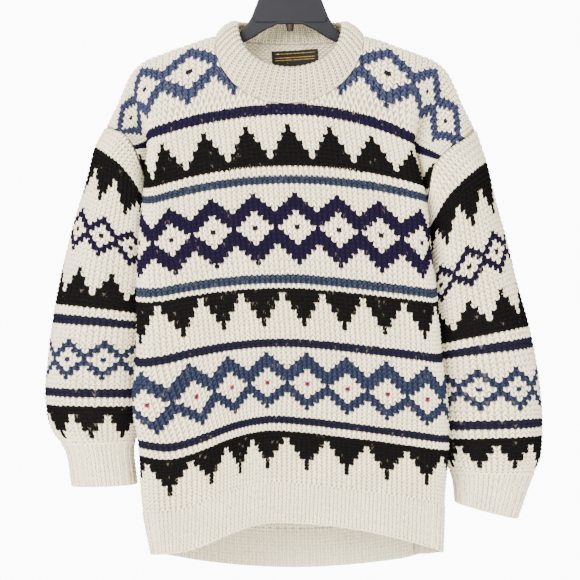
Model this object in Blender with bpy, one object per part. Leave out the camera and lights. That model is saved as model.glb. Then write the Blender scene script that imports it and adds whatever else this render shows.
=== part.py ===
"""Hand-knitted fisherman sweater on a plastic hanger, one closed solid for each knitted piece.

The origin is where the hook meets its rail. +X is to the right of a viewer in front of the
sweater, the front faces -Y and +Z is up. Lengths in the tables are millimetres; a place on a
panel is counted in stitches from the middle wale and in rows up from the hem rib.
"""
import math

import bmesh
import bpy
import numpy as np

MM = 0.001
WALL = 5.0                # thickness of the chunky knit
SEAM = 0.3                # gap between two pieces at a seam
SIDE = 41.0               # stitches from the middle wale to a side seam
UNDERARM = 68.0           # row of the underarm
YOKE = 89.0               # row where the neckline and shoulders start to shape the panel
SHOULDER = 107.0          # row of the shoulder seam
HEM_EDGE = -9.5           # row of the hem's lower edge
NECK = 14.0               # stitches from the middle wale to the neck end of a shoulder seam
NECK_HALF = 100.0         # half the width of the neckline at the shoulder seams
FRONT_NECK_DROP = 17.0    # rows from the shoulder seam down to the front neckline
BACK_NECK_DROP = 2.5      # rows from the shoulder seam down to the back neckline
FLAT_STITCHES = 24.0      # stitches each side of the middle that keep the flat stitch width
HIP_RIBS = 52             # ribs across one half of the hem
COLLAR_RIB = 9.2          # width of a collar rib and its furrow
CUFF_STEP_RIBS = 1        # cuff ribs for each column of the sleeve
LOW_TURN = 150            # degrees that a row below the underarm turns round its side edge
HIGH_TURN = 115           # and a row beside the armhole
TUCK_INSET = 4.0          # from the edge in to the bottom of the tuck beside the armhole
UNDERARM_TUCK = 178.0     # distance of that bottom from the middle at the underarm
TUCK_DEPTH = 0.12         # its depth, as a share of the panel's
HIDDEN_STITCH = 27.0      # stitch where the rows start to lead to the side seam
# The front's left drop starts and ends at these shares of the way out to its edge, up to the first
# of the two rows, and is a parabola from the second row on.
SAG_REACH = (0.15, 0.85)
SAG_ROWS = (18.0, 37.0)
RIB_RELIEF = 1.3          # height of a rib above the middle of its wall, and depth of its furrow

# Panel rows: row, height at the middle, drop at the left and right edges, power of the right
# drop's curve, shift of the middle wale, stitch width, left and right edge, depth of the front.
FRONT_ROWS = (
    (-9.5, -790, 40, 38, 1.8, 20, 6.65, 186, 205, 54),
    (0, -736, 37, 27, 1.2, 22, 6.65, 197, 207, 58),
    (18, -651, 38, 27, 1.1, 22, 6.65, 204, 213, 62),
    (28, -598, 38, 27, 1.1, 23, 6.65, 212, 211, 64),
    (37, -548, 36, 22, 1.2, 21, 6.65, 207, 204, 64),
    (53, -457, 26, 21, 1.3, 14, 6.8, 206, 196, 62),
    (61, -404, 28, 23, 1.6, 10, 6.95, 204, 189, 60),
    (68, -360, 31, 24, 1.8, 7, 7.0, 201, 186, 56),
    (75, -319, 33, 26, 2.0, 4, 7.0, 197, 181, 52),
    (82, -278, 34, 32, 2.0, -1, 7.0, 195, 173, 47),
    (89, -237, 34, 40, 2.0, -5, 7.0, 193, 168, 42),
)
# The same for the back, which hangs straighter and lower. Left and right are a viewer's in front.
BACK_ROWS = (
    (-9.5, -863, -20, -20, 2.0, -20, 6.65, 184, 200, 50),
    (0, -809, -24, -24, 2.0, -22, 6.65, 188, 198, 54),
    (18, -698, -18, -18, 2.0, -22, 6.65, 190, 196, 58),
    (28, -637, -16, -16, 2.0, -23, 6.65, 190, 192, 60),
    (37, -581, -14, -14, 2.0, -21, 6.65, 190, 189, 60),
    (53, -483, -14, -14, 2.0, -14, 6.8, 190, 187, 56),
    (61, -433, -12, -12, 2.0, -10, 6.95, 190, 186, 52),
    (68, -390, -8, -8, 2.0, -7, 7.0, 190, 184, 47),
    (75, -347, 0, 0, 2.0, -4, 7.0, 190, 181, 42),
    (82, -304, 10, 10, 2.0, 1, 7.0, 192, 178, 37),
    (89, -261, 20, 20, 2.0, 3, 7.0, 193, 174, 32),
)
# Side seam below the underarm: row, height, distance of the tuck's bottom from the middle.
SIDE_SEAMS = {
    "left": ((-9.5, -838, 164), (0, -780, 168), (18, -676, 172), (28, -617, 174),
             (37, -562, 173), (53, -463, 172), (61, -412, 174)),
    "right": ((-9.5, -838, 174), (0, -780, 175), (18, -676, 176), (28, -617, 176),
              (37, -562, 173), (53, -463, 172), (61, -412, 174)),
}
# Armhole, from the underarm to the shoulder point: row, distance out, depth of the front half,
# height, and the direction that the cloth faces there (out, forwards, up).
ARMHOLES = {
    "left": ((68, 184, 0, -370, 0.0, 0.0, -1.0), (75, 193, 11, -340, 0.1, 0.6, -0.8),
             (82, 202, 19, -310, 0.1, 0.9, -0.4), (89, 210, 28, -287, 0.2, 0.95, -0.1),
             (96, 223, 36, -270, 0.4, 0.9, 0.1), (102.5, 240, 22, -262, 0.75, 0.6, 0.3),
             (107, 251, 0, -258, 0.88, 0.0, 0.48)),
    "right": ((68, 184, 0, -375, 0.0, 0.0, -1.0), (75, 187, 26, -347, 0.1, 0.7, -0.7),
              (82, 190, 43, -322, 0.15, 0.95, -0.3), (89, 201, 45, -302, 0.2, 0.97, -0.1),
              (96, 219, 38, -286, 0.4, 0.9, 0.1), (102.5, 239, 22, -273, 0.75, 0.6, 0.3),
              (107, 253, 0, -261, 0.88, 0.0, 0.48)),
}
# Shoulder seam from the neck to the armhole: distance out, height.
SHOULDER_LINE = ((100, -131), (134, -143), (178, -159), (208, -174), (222, -195), (230, -215),
                 (241, -238), (252, -260))
NECK_MIDDLE_HEIGHT = -129.0     # height that the shoulder line would reach over the neck
NECK_BULGE = 27.0               # how far the neckline stands out past the flat shoulders
SHOULDER_ROLL = 16.0            # depth of the cloth where it starts to roll over a shoulder
ROLL_ROWS = 5.0                 # rows in that roll
# Sleeve rings: row up from the cuff, outer point's distance out and height, inner point's
# distance out and height, extra dip of the inner side, half depth, distance of the axis back.
SLEEVES = {
    "left": ((66, 265, -284, 190, -331, 42, 42, 2), (60, 275, -322, 190, -365, 28, 44, 4),
             (48.5, 296, -392, 190, -424, 12, 45, 8), (40, 310, -448, 191, -470, 6, 45, 9),
             (32, 320, -497, 192, -510, 3, 44, 9), (20.5, 330, -571, 197, -573, 0, 42, 9),
             (10, 333, -634, 200, -636, 0, 38, 8), (3, 322, -674, 206, -674, 0, 32, 6),
             (0, 309, -690, 212, -686, 0, 29, 5), (-9, 296, -746, 209, -743, 0, 27, 4)),
    "right": ((66, 267, -304, 190, -361, 32, 42, 2), (60, 277, -345, 190, -396, 22, 44, 4),
              (48.5, 297, -417, 190, -472, 10, 45, 8), (40, 311, -474, 191, -515, 5, 45, 9),
              (32, 326, -527, 192, -552, 3, 44, 9), (20.5, 341, -611, 195, -613, 0, 42, 9),
              (10, 344, -676, 201, -680, 0, 38, 8), (3, 339, -714, 212, -714, 0, 34, 6),
              (0, 331, -730, 219, -727, 0, 31, 5), (-9, 309, -790, 226, -768, 0, 28, 4)),
}
SLEEVE_TOP = 71.0               # row where a sleeve meets its armhole
# Soft folds: panel, stitch of the fold, row, half width in stitches, half length in rows, depth
FOLDS = (
    ("front", -12.5, 8, 3.5, 16, 8), ("front", 12, 4, 5, 15, 5), ("front", -24, 16, 5, 22, 4),
    ("front", 22, 34, 5, 20, 3), ("back", 8, 20, 6, 26, 5), ("back", -14, 30, 6, 24, 4),
)
# Collar's top edge: half width, height at the sides, drop at the front and (less than none) at
# the back, depth at the front and back, and how far the collar rounds out.
COLLAR_HALF = 69.0
COLLAR_SIDE_HEIGHT = -115.0
COLLAR_FRONT_DROP = 64.0
COLLAR_BACK_DROP = -8.0
COLLAR_FRONT_DEPTH = 42.0
COLLAR_BACK_DEPTH = 37.0
COLLAR_BULGE = 5.0

LABEL_SIZE = (64.0, 23.0, 0.8)
LABEL_TILT = math.radians(3.5)
LABEL_MIDDLE = (7.0, -160.0)    # distance right, height
LABEL_ROWS = (96.0, 104.4)      # rows of the back that it lies on
LABEL_STITCH = 7.0              # stitch width there

ARM_CLEARANCE = 2.8             # from the seam's underside down to the hanger's arm
HANGER_HALF_THICKNESS = 4.6
# Upper outline of the hanger outside the cloth, from the top of the block: distance out, height
BLOCK_OUTLINE = ((32, -58), (41, -64), (43.5, -85), (52.5, -108), (60, -120), (71, -131.5))
ARM_TIP = 201.0
ARM_HEIGHT = 17.0               # the arm's height at the neck
TIP_HEIGHT = 12.0               # and at the tip
ARM_STEPS = (100.0, 134.0, 165.0, 188.0)
ARM_ROOT = 71.0                 # where the arm comes out of the block
ARCH_OUTLINE = ((64, -143), (50, -136), (34, -125.5), (17, -117.5))
ARCH_HEIGHT = ARCH_OUTLINE[-1][1]
PLATE_OUTLINE = ((36, -64), (42, -86), (51, -109), (47, -115))
PLATE_THICKNESS = 2.6
BOSS_RADIUS = 5.5
BOSS_HEIGHT = 9.0
WIRE = 3.8                      # diameter of the hook's wire
HOOK_RADIUS = 18.0
HOOK_FOOT = -57.7               # lower end of the hook, on the block's top face

COLOURS = {
    "cream": (0.85, 0.80, 0.69), "plastic": (0.028, 0.026, 0.034), "steel": (0.60, 0.60, 0.62),
    "label": (0.012, 0.010, 0.008), "pewter": (0.12, 0.10, 0.085),
}


def spline_weights(knots, places):
    """Share of each knot in a smooth curve through the knots, one row for each place."""
    knots = np.asarray(knots, float)
    places = np.atleast_1d(np.asarray(places, float))
    own = np.eye(len(knots))
    step = np.diff(knots)
    slope = np.diff(own, axis=0) / step[:, None]
    tangent = np.empty_like(own)
    tangent[0], tangent[-1] = slope[0], slope[-1]
    before, after = step[:-1, None], step[1:, None]
    tangent[1:-1] = (slope[:-1] * after + slope[1:] * before) / (before + after)
    index = np.clip(np.searchsorted(knots, places, side="right") - 1, 0, len(knots) - 2)
    length = step[index][:, None]
    t = ((places - knots[index])[:, None]) / length
    return ((2 * t**3 - 3 * t**2 + 1) * own[index] + (t**3 - 2 * t**2 + t) * length * tangent[index]
            + (3 * t**2 - 2 * t**3) * own[index + 1] + (t**3 - t**2) * length * tangent[index + 1])


def read_table(table, places):
    """Columns of a table, after its first, on a smooth curve at the given first-column values."""
    rows = np.asarray(table, float)
    return spline_weights(rows[:, 0], places) @ rows[:, 1:]


def unit(vectors):
    """Vectors of length one."""
    return vectors / np.linalg.norm(vectors, axis=-1, keepdims=True)


def eased(values, low, high):
    """Smooth step from 0 at low to 1 at high."""
    t = np.clip((values - low) / (high - low), 0, 1)
    return t * t * (3 - 2 * t)


def shoulder_line(stitch):
    """Outer point of the shoulder seam at a distance in stitches from the middle wale."""
    points = np.asarray(SHOULDER_LINE, float)
    lengths = np.concatenate(([0.0], np.cumsum(np.linalg.norm(np.diff(points, axis=0), axis=1))))
    knots = NECK + lengths / lengths[-1] * (SIDE - NECK)
    if stitch < NECK:
        out = NECK_HALF * stitch / NECK
        rise = NECK_MIDDLE_HEIGHT - points[0][1]
        return out, points[0][1] + rise * (1 - (stitch / NECK) ** 2)
    return tuple((spline_weights(knots, stitch) @ points)[0])


def shoulder_facing(stitch):
    """Direction, out and up, that the cloth faces on the shoulder seam."""
    a, b = shoulder_line(max(stitch - 1, NECK)), shoulder_line(min(stitch + 1, SIDE))
    out, up = a[1] - b[1], b[0] - a[0]
    length = math.hypot(out, up)
    return out / length, up / length


def armhole(side, facing, row):
    """Outer points and facings of one half of an armhole at the given rows."""
    sign = -1.0 if side == "left" else 1.0
    table = read_table(ARMHOLES[side], row)
    points = np.column_stack((sign * table[:, 0], facing * table[:, 1], table[:, 2]))
    normals = np.column_stack((sign * table[:, 3], facing * table[:, 4], table[:, 5]))
    return points, unit(normals)


def half_row(edge, depth, bottom, end, turn):
    """Plan of half a row as dense points: flat, a round corner at the edge, a tuck and its end."""
    radius = 0.4 * depth
    points = [(0.0, -depth)]
    for angle in np.radians(np.linspace(0, turn, 12)):
        points.append((edge - radius + radius * math.sin(angle),
                       -depth + radius - radius * math.cos(angle)))
    points.append(bottom)
    if end != bottom:
        points.append(end)
    points = np.asarray(points, float)
    lengths = np.concatenate(([0.0], np.cumsum(np.linalg.norm(np.diff(points, axis=0), axis=1))))
    return lengths, points


STATIONS = (0.0, 8.0, 16.0, 20.0, 24.0, 27.0, 30.0, 33.0, 36.0, 38.5, 41.0)
YOKE_ROWS = (92.5, 96.0, 99.5, 102.5, 105.0, 106.3, 107.0)


class Panel:
    """A smooth front or back surface, laid out in stitches and rows."""

    def __init__(self, name, table, facing, neck_drop, neck_power):
        self.name = name
        self.facing = facing
        self.neck_drop = neck_drop
        self.neck_power = neck_power
        self.table = np.asarray(table, float)
        self.stitches = np.array([-s for s in STATIONS[:0:-1]] + list(STATIONS))
        low = [self.row_points(row) for row in self.table[:, 0]]
        yoke = [self.yoke_points(low[-1], row) for row in YOKE_ROWS]
        self.rows = np.concatenate((self.table[:, 0], YOKE_ROWS))
        self.net = np.array(low + yoke)

    def row_points(self, row):
        """Points of one row of the table at every station, from left to right."""
        values = read_table(self.table, row)[0]
        middle, drop_left, drop_right, power_right, shift, width = values[:6]
        left_edge, right_edge, depth = values[6:]
        halves = []
        for sign, edge, drop, power in ((-1, left_edge, drop_left, 2.0),
                                        (1, right_edge, drop_right, power_right)):
            side = "left" if sign < 0 else "right"
            if row < UNDERARM:
                seam_height, tuck = read_table(SIDE_SEAMS[side], row)[0]
                lengths, plan = half_row(edge, depth, (tuck, 0.0), (tuck, 0.0), LOW_TURN)
            else:
                seam = armhole(side, -1.0, row)[0][0]
                seam_height = seam[2]
                tuck = min(edge, abs(seam[0])) - TUCK_INSET if row > UNDERARM else UNDERARM_TUCK
                end = (abs(seam[0]), seam[1])
                lengths, plan = half_row(edge, depth, (tuck, -TUCK_DEPTH * depth), end, HIGH_TURN)
            flat = FLAT_STITCHES * width + sign * shift
            arcs = np.interp(STATIONS, (0, FLAT_STITCHES, SIDE),
                             (sign * shift, flat, lengths[-1]))
            out = np.interp(arcs, lengths, plan[:, 0])
            out = np.where(arcs < 0, arcs, out)
            deep = np.interp(arcs, lengths, plan[:, 1])
            share = np.minimum(np.abs(out), edge) / edge
            curve = share**power
            if self.facing < 0 and sign < 0:
                curve += (eased(share, *SAG_REACH) - curve) * (1 - eased(row, *SAG_ROWS))
            height = middle - drop * curve
            hidden = np.clip((np.array(STATIONS) - HIDDEN_STITCH) / (SIDE - HIDDEN_STITCH), 0, 1)
            height = height + (seam_height - height) * hidden
            halves.append(np.column_stack((sign * out, -self.facing * deep, height)))
        return np.vstack((halves[0][:0:-1], halves[1]))

    def yoke_points(self, base, row):
        """Points of a row between the top of the table and the shoulder seam."""
        t = (row - YOKE) / (SHOULDER - YOKE)
        rise = t + 0.42 * t * (1 - t)
        roll = math.sqrt(1 - max(0.0, (row - SHOULDER + ROLL_ROWS) / ROLL_ROWS) ** 2)
        points = []
        for stitch, low in zip(self.stitches, base):
            sign = -1.0 if stitch < 0 else 1.0
            count = abs(stitch)
            if count == SIDE:
                side = "left" if sign < 0 else "right"
                points.append(armhole(side, self.facing, row)[0][0])
                continue
            out, height = shoulder_line(count)
            inside = max(0.0, 1 - (count / NECK) ** 2)
            top_depth = SHOULDER_ROLL + NECK_BULGE * inside
            rolled = 1 - (1 - roll) * min(1.0, (count / NECK) ** 4)
            deep = (abs(low[1]) * (1 - t) + top_depth * t) * rolled
            points.append((low[0] + (sign * out - low[0]) * t, self.facing * deep,
                           low[2] + (height - low[2]) * rise))
        return np.array(points)

    def top(self, stitch):
        """Row of the panel's upper edge at a stitch."""
        inside = np.clip(1 - (np.abs(stitch) / NECK) ** 2, 0, 1)
        return SHOULDER - self.neck_drop * inside**self.neck_power

    def smooth(self, stitch, row):
        """Outer points before the folds, one for each stitch and row."""
        across = spline_weights(self.stitches, stitch)
        along = spline_weights(self.rows, row)
        return np.einsum("ni,nj,ijk->nk", along, across, self.net)

    def normals(self, stitch, row):
        """Outward directions of the smooth surface."""
        across = self.smooth(stitch + 0.3, row) - self.smooth(stitch - 0.3, row)
        along = self.smooth(stitch, row + 0.3) - self.smooth(stitch, row - 0.3)
        return unit(np.cross(across, along) * -self.facing)

    def points(self, stitch, row):
        """Outer points with the soft folds pressed in."""
        places = self.smooth(stitch, row)
        for name, across, along, width, length, depth in FOLDS:
            if name == self.name:
                reach = ((stitch - across) / width) ** 2 + ((row - along) / length) ** 2
                places[:, 1] -= self.facing * depth * np.exp(-reach)
        return places


FRONT = Panel("front", FRONT_ROWS, -1.0, FRONT_NECK_DROP, 0.35)
BACK = Panel("back", BACK_ROWS, 1.0, BACK_NECK_DROP, 0.5)

# Columns of a panel, right half: place at the hem in half ribs, place at the shoulder in
# stitches. Those of the neckline stand at even turns of a quarter circle, and one just inside it.
HALF_RIB = SIDE / HIP_RIBS
NECK_TURNS = (0, 16, 32, 48, 64, 77, 86.3, 90)
NECK_HALF_RIBS = (0, 3, 6, 9, 12, 15, 18, 20)
COLUMNS = tuple([(n, NECK * math.sin(math.radians(turn)))
                 for n, turn in zip(NECK_HALF_RIBS, NECK_TURNS)]
                + [(n, n * HALF_RIB) for n in (23, 27, 30, 33, 36, 39, 42, 45, 48, 52)])
BODY_LEVELS = (0, 18, 28, 37, 53, 61)
ARM_LEVELS = (68, 71.5, 75, 78.5, 82, 85.5, 89, 92.5, 96, 99.5, 102.5, 105, 107)


def seam_edge(panel, sign, row):
    """Outer point and facing on a panel's side edge, the same for each piece that meets there."""
    side = "left" if sign < 0 else "right"
    if row >= UNDERARM:
        point, normal = armhole(side, panel.facing, row)
        return point[0], normal[0]
    height, tuck = read_table(SIDE_SEAMS[side], row)[0]
    return np.array((sign * tuck, 0.0, height)), np.array((float(sign), 0.0, 0.0))


def neck_edge(panel, stitch):
    """Outer point and facing on a panel's neckline."""
    row = panel.top(np.array([stitch]))
    point = panel.points(np.array([float(stitch)]), row)[0]
    out, up = shoulder_facing(NECK)
    lowest = SHOULDER - panel.neck_drop
    lean = ((row[0] - lowest) / panel.neck_drop) ** 2
    sign = -1.0 if stitch < 0 else 1.0
    face = np.array((sign * out * lean, panel.facing * (1 - lean), 0.1 + (up - 0.1) * lean))
    if abs(stitch) >= NECK - 0.001:
        point = np.array((sign * NECK_HALF, 0.0, SHOULDER_LINE[0][1]))
    return point, unit(face)


def panel_grid(panel, levels):
    """Outer and inner points of a panel's solid, row by row from the lowest level."""
    outer, inner = [], []
    columns = [(-a, -b) for a, b in COLUMNS[:0:-1]] + list(COLUMNS)
    for level in levels:
        spread = min(1.0, max(0.0, level / YOKE))
        spread = spread * spread * (3 - 2 * spread)
        stitch = np.array([a * HALF_RIB + (b - a * HALF_RIB) * spread for a, b in columns])
        limit = panel.top(stitch)
        row = np.where(level > UNDERARM, UNDERARM + (limit - UNDERARM) * (level - UNDERARM)
                       / (SHOULDER - UNDERARM), level)
        out = panel.points(stitch, row)
        face = panel.normals(stitch, row)
        for k, (s, r) in enumerate(zip(stitch, row)):
            if abs(s) > SIDE - 0.001:
                out[k], face[k] = seam_edge(panel, -1 if s < 0 else 1, r)
            elif level == SHOULDER and abs(s) <= NECK + 0.001:
                out[k], face[k] = neck_edge(panel, s)
            elif level == SHOULDER:
                across, up = shoulder_line(abs(s))
                out[k] = (math.copysign(across, s), 0.0, up)
                lean = shoulder_facing(abs(s))
                face[k] = (math.copysign(lean[0], s), 0.0, lean[1])
        inner.append(out - face * WALL)
        outer.append(out)
    return np.array(outer), np.array(inner)


def add_object(name, mesh_builder, colour, roughness=0.9, metallic=0.0, smooth=True):
    """Make a named object from a bmesh in millimetres, with its own material."""
    bmesh.ops.scale(mesh_builder, vec=(MM, MM, MM), verts=mesh_builder.verts)
    bmesh.ops.recalc_face_normals(mesh_builder, faces=mesh_builder.faces)
    mesh = bpy.data.meshes.new(name)
    mesh_builder.to_mesh(mesh)
    mesh_builder.free()
    if smooth:
        mesh.shade_smooth()
    made = bpy.data.objects.new(name, mesh)
    bpy.context.collection.objects.link(made)
    material = bpy.data.materials.new(name)
    material.use_nodes = True
    shader = material.node_tree.nodes["Principled BSDF"]
    shader.inputs["Base Color"].default_value = (*COLOURS[colour], 1.0)
    shader.inputs["Roughness"].default_value = roughness
    shader.inputs["Metallic"].default_value = metallic
    mesh.materials.append(material)
    return made


def add_wall(name, outer, inner, closed, colour="cream"):
    """Make the closed solid between an outer and an inner grid, a tube where closed is true."""
    rows, columns = outer.shape[:2]
    bm = bmesh.new()
    skins = [[[bm.verts.new(p) for p in row] for row in grid] for grid in (outer, inner)]
    last = columns if closed else columns - 1
    for grid in skins:
        for i in range(rows - 1):
            for j in range(last):
                k = (j + 1) % columns
                bm.faces.new((grid[i][j], grid[i][k], grid[i + 1][k], grid[i + 1][j]))
    for i in (0, rows - 1):
        for j in range(last):
            k = (j + 1) % columns
            bm.faces.new((skins[0][i][j], skins[0][i][k], skins[1][i][k], skins[1][i][j]))
    if not closed:
        for j in (0, columns - 1):
            for i in range(rows - 1):
                bm.faces.new((skins[0][i][j], skins[0][i + 1][j], skins[1][i + 1][j],
                              skins[1][i][j]))
    return add_object(name, bm, colour)


def part_seams(panel, outer, inner, top_shift):
    """Draw a panel's edges back by half a seam gap: side seams and shoulders in depth."""
    half = 0.5 * SEAM * panel.facing
    for grid in (outer, inner):
        grid[:, (0, -1), 1] += half
        if top_shift:
            stitches = np.array([abs(b) for _, b in COLUMNS])
            count = len(stitches)
            for k in range(grid.shape[1]):
                if stitches[abs(k - count + 1)] > NECK - 0.01:
                    grid[-1, k, 1] += half


def build_panels():
    """Front and back, from the top of the hem rib to the shoulder seams."""
    for panel in (FRONT, BACK):
        outer, inner = panel_grid(panel, BODY_LEVELS + ARM_LEVELS)
        part_seams(panel, outer, inner, True)
        add_wall(panel.name, outer, inner, False)


def rib_lift(count, reach):
    """Outward offset of rib peaks and furrows, alternating, for a row of points."""
    return RIB_RELIEF * reach * np.where(np.arange(count) % 2 == 0, -1.0, 1.0)


def build_hems():
    """Ribbed welts below the front and back, whose top edge is the panels' lowest row."""
    for panel in (FRONT, BACK):
        base_outer, base_inner = panel_grid(panel, (0,))
        columns = [(-a) for a, _ in COLUMNS[:0:-1]] + [a for a, _ in COLUMNS]
        ribs = np.arange(-HIP_RIBS, HIP_RIBS + 1)
        levels = ((0.0, 0.0), (-0.8, 1.0), (HEM_EDGE + 0.5, 1.0), (HEM_EDGE, 0.3))
        outer, inner = [], []
        for level, reach in levels:
            stitch = ribs * HALF_RIB
            row = np.full(len(ribs), level)
            out = panel.points(stitch, row)
            face = panel.normals(stitch, row)
            for k, sign in ((0, -1), (-1, 1)):
                out[k], face[k] = seam_edge(panel, sign, level)
            if level == 0.0:
                out = np.column_stack([np.interp(ribs, columns, base_outer[0][:, i])
                                       for i in range(3)])
                within = np.column_stack([np.interp(ribs, columns, base_inner[0][:, i])
                                          for i in range(3)])
                drop = np.array((0.0, 0.0, SEAM))
                outer.append(out - drop)
                inner.append(within - drop)
                continue
            lift = rib_lift(len(ribs), reach)
            lift[[0, -1]] = 0.0
            outer.append(out + face * lift[:, None])
            inner.append(out - face * WALL)
        outer, inner = np.array(outer), np.array(inner)
        part_seams(panel, outer, inner, False)
        add_wall("hem_" + panel.name, outer, inner, False)


class Sleeve:
    """A smooth sleeve surface from its armhole to its cuff, by ring angle and row."""

    RING = 12

    def __init__(self, side):
        self.side = side
        self.sign = -1.0 if side == "left" else 1.0
        rings = [self.armhole_ring(self.knot_rows())[0]]
        heights = [SLEEVE_TOP]
        for values in SLEEVES[side]:
            heights.append(values[0])
            rings.append(self.ring(values[1:]))
        self.rows = np.array(heights[::-1])
        self.net = np.array(rings[::-1])

    @staticmethod
    def knot_rows():
        """Armhole rows at the ring's equal steps, from the shoulder point to the underarm."""
        return np.array([107, 102.5, 96, 89, 82, 75, 68], float)

    def armhole_ring(self, rows):
        """Points and facings once round the armhole, front half first."""
        front, front_face = armhole(self.side, -1.0, rows)
        back, back_face = armhole(self.side, 1.0, rows)
        return np.vstack((front, back[-2:0:-1])), np.vstack((front_face, back_face[-2:0:-1]))

    def ring(self, values):
        """Points of one ring of the table."""
        out_x, out_z, in_x, in_z, dip, deep, back = values
        angle = np.arange(self.RING) * 2 * math.pi / self.RING
        share = (1 - np.cos(angle)) / 2
        x = out_x + (in_x - out_x) * share
        z = out_z + (in_z - out_z) * share - dip * share**4
        return np.column_stack((self.sign * x, back - deep * np.sin(angle), z))

    def points(self, turn, row):
        """Outer points; turn counts the ring's steps from the shoulder point."""
        pad = 3
        wrapped = np.arange(-pad, self.RING + pad)
        across = spline_weights(wrapped, np.mod(turn, self.RING))
        along = spline_weights(self.rows, row)
        return np.einsum("ni,nj,ijk->nk", along, across, self.net[:, wrapped % self.RING])

    def normals(self, turn, row):
        """Outward directions."""
        across = self.points(turn + 0.05, row) - self.points(turn - 0.05, row)
        along = self.points(turn, row + 0.2) - self.points(turn, row - 0.2)
        return unit(np.cross(across, along) * -self.sign)


SLEEVE_LEVELS = (0, 3, 10, 20.5, 32, 40, 48.5, 54, 60, 66)


def build_sleeve(side):
    """One sleeve and its cuff."""
    sleeve = Sleeve(side)
    rows = np.array(ARM_LEVELS[::-1], float)
    top, facing = sleeve.armhole_ring(rows)
    along = unit(np.roll(top, -1, axis=0) - np.roll(top, 1, axis=0))
    away = unit(np.cross(facing, along))
    centre = np.mean(sleeve.ring(SLEEVES[side][1][1:]), axis=0)
    away *= np.sign(away @ (centre - np.mean(top, axis=0)))[:, None]
    turns = np.interp(rows, sleeve.knot_rows()[::-1], np.arange(6, -1, -1.0))
    turns = np.concatenate((turns, 12 - turns[-2:0:-1]))
    even = np.arange(len(turns)) * 12.0 / len(turns)
    outer, inner = [], []
    for level in SLEEVE_LEVELS:
        blend = min(1.0, (SLEEVE_TOP - level) / 25.0)
        turn = turns + (even - turns) * blend
        row = np.full(len(turn), float(level))
        out = sleeve.points(turn, row)
        outer.append(out)
        inner.append(out - sleeve.normals(turn, row) * WALL)
    outer.append(top + away * SEAM)
    inner.append(top - facing * WALL + away * SEAM)
    add_wall("sleeve_" + side, np.array(outer), np.array(inner), True)

    base_outer, base_inner = outer[0], inner[0]
    count = len(turns) * 2 * CUFF_STEP_RIBS
    share = np.arange(count) / (2.0 * CUFF_STEP_RIBS)
    steps = np.arange(len(turns) + 1)
    edges = []
    for grid in (base_outer, base_inner):
        looped = np.vstack((grid, grid[:1]))
        edges.append(np.column_stack([np.interp(share, steps, looped[:, i]) for i in range(3)]))
    down = np.array((0.0, 0.0, SEAM))
    outer, inner = [edges[0] - down], [edges[1] - down]
    for level, reach in ((-0.8, 1.0), (-8.5, 1.0), (-9.0, 0.3)):
        turn = share * 12.0 / len(turns)
        row = np.full(count, level)
        out = sleeve.points(turn, row)
        face = sleeve.normals(turn, row)
        outer.append(out + face * rib_lift(count, reach)[:, None])
        inner.append(out - face * WALL)
    add_wall("cuff_" + side, np.array(outer), np.array(inner), True)


def neck_loop():
    """Outer points and facings of the neckline, once round from the right, front half first."""
    turns = [-turn for turn in NECK_TURNS[:0:-1]] + list(NECK_TURNS)
    stitches = [NECK * math.sin(math.radians(turn)) for turn in turns]
    front = [neck_edge(FRONT, s) for s in stitches[::-1]]
    back = [neck_edge(BACK, s) for s in stitches[1:-1]]
    loop = front + back
    return np.array([p for p, _ in loop]), np.array([n for _, n in loop])


def neck_angles():
    """Angles of the neckline's points round the neck, from the right over the front."""
    quarter = [90.0 - turn for turn in NECK_TURNS[::-1]]
    half = quarter + [180.0 - turn for turn in quarter[-2::-1]]
    return np.radians(half + [180.0 + turn for turn in half[1:]])


def collar_top(angle):
    """Outer points of the collar's upper edge; the angle runs from the right over the front."""
    front = np.sin(angle) >= 0
    lift = np.abs(np.sin(angle))
    drop = np.where(front, COLLAR_FRONT_DROP * lift**0.85, COLLAR_BACK_DROP * lift)
    depth = np.where(front, -COLLAR_FRONT_DEPTH, COLLAR_BACK_DEPTH) * lift**0.5
    return np.column_stack((COLLAR_HALF * np.cos(angle), depth, COLLAR_SIDE_HEIGHT - drop))


def build_collar():
    """Ribbed collar from the neckline up to its rounded edge."""
    base, facing = neck_loop()
    steps = len(base)
    spans = np.linalg.norm(np.roll(base, -1, axis=0) - base, axis=1)
    halves = [max(1, round(span / COLLAR_RIB * 2)) for span in spans]
    halves[int(np.argmax(spans))] += sum(halves) % 2
    share = np.concatenate([i + np.arange(n) / n for i, n in enumerate(halves)])
    count = len(share)
    looped = [np.vstack((grid, grid[:1])) for grid in (base, base - facing * WALL)]
    edges = [np.column_stack([np.interp(share, np.arange(steps + 1), grid[:, i])
                              for i in range(3)]) for grid in looped]
    angle = np.interp(share, np.arange(steps + 1), neck_angles())
    top = collar_top(angle)
    along = unit(np.roll(top, -1, axis=0) - np.roll(top, 1, axis=0))
    rise = unit(top - edges[0])
    face = unit(np.cross(along, rise))
    face *= np.sign(np.einsum("ij,ij->i", face, unit(edges[0] - edges[1])))[:, None]
    up = rise * SEAM + np.array((0.0, 0.0, 1.5 * SEAM))
    outer = [edges[0] + up]
    inner = [edges[1] + up]
    for part, reach, bulge, wall in ((0.08, 0.3, 0.05, WALL), (0.2, 1.0, 0.45, WALL),
                                     (0.55, 1.0, 1.0, WALL),
                                     (0.93, 1.0, 0.4, WALL + 0.5), (1.0, 0.4, -0.2, 3.6)):
        middle = edges[0] + (top - edges[0]) * part + face * COLLAR_BULGE * bulge
        outer.append(middle + face * rib_lift(count, reach)[:, None])
        inner.append(middle - face * wall)
    add_wall("collar", np.array(outer), np.array(inner), True)


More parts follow.
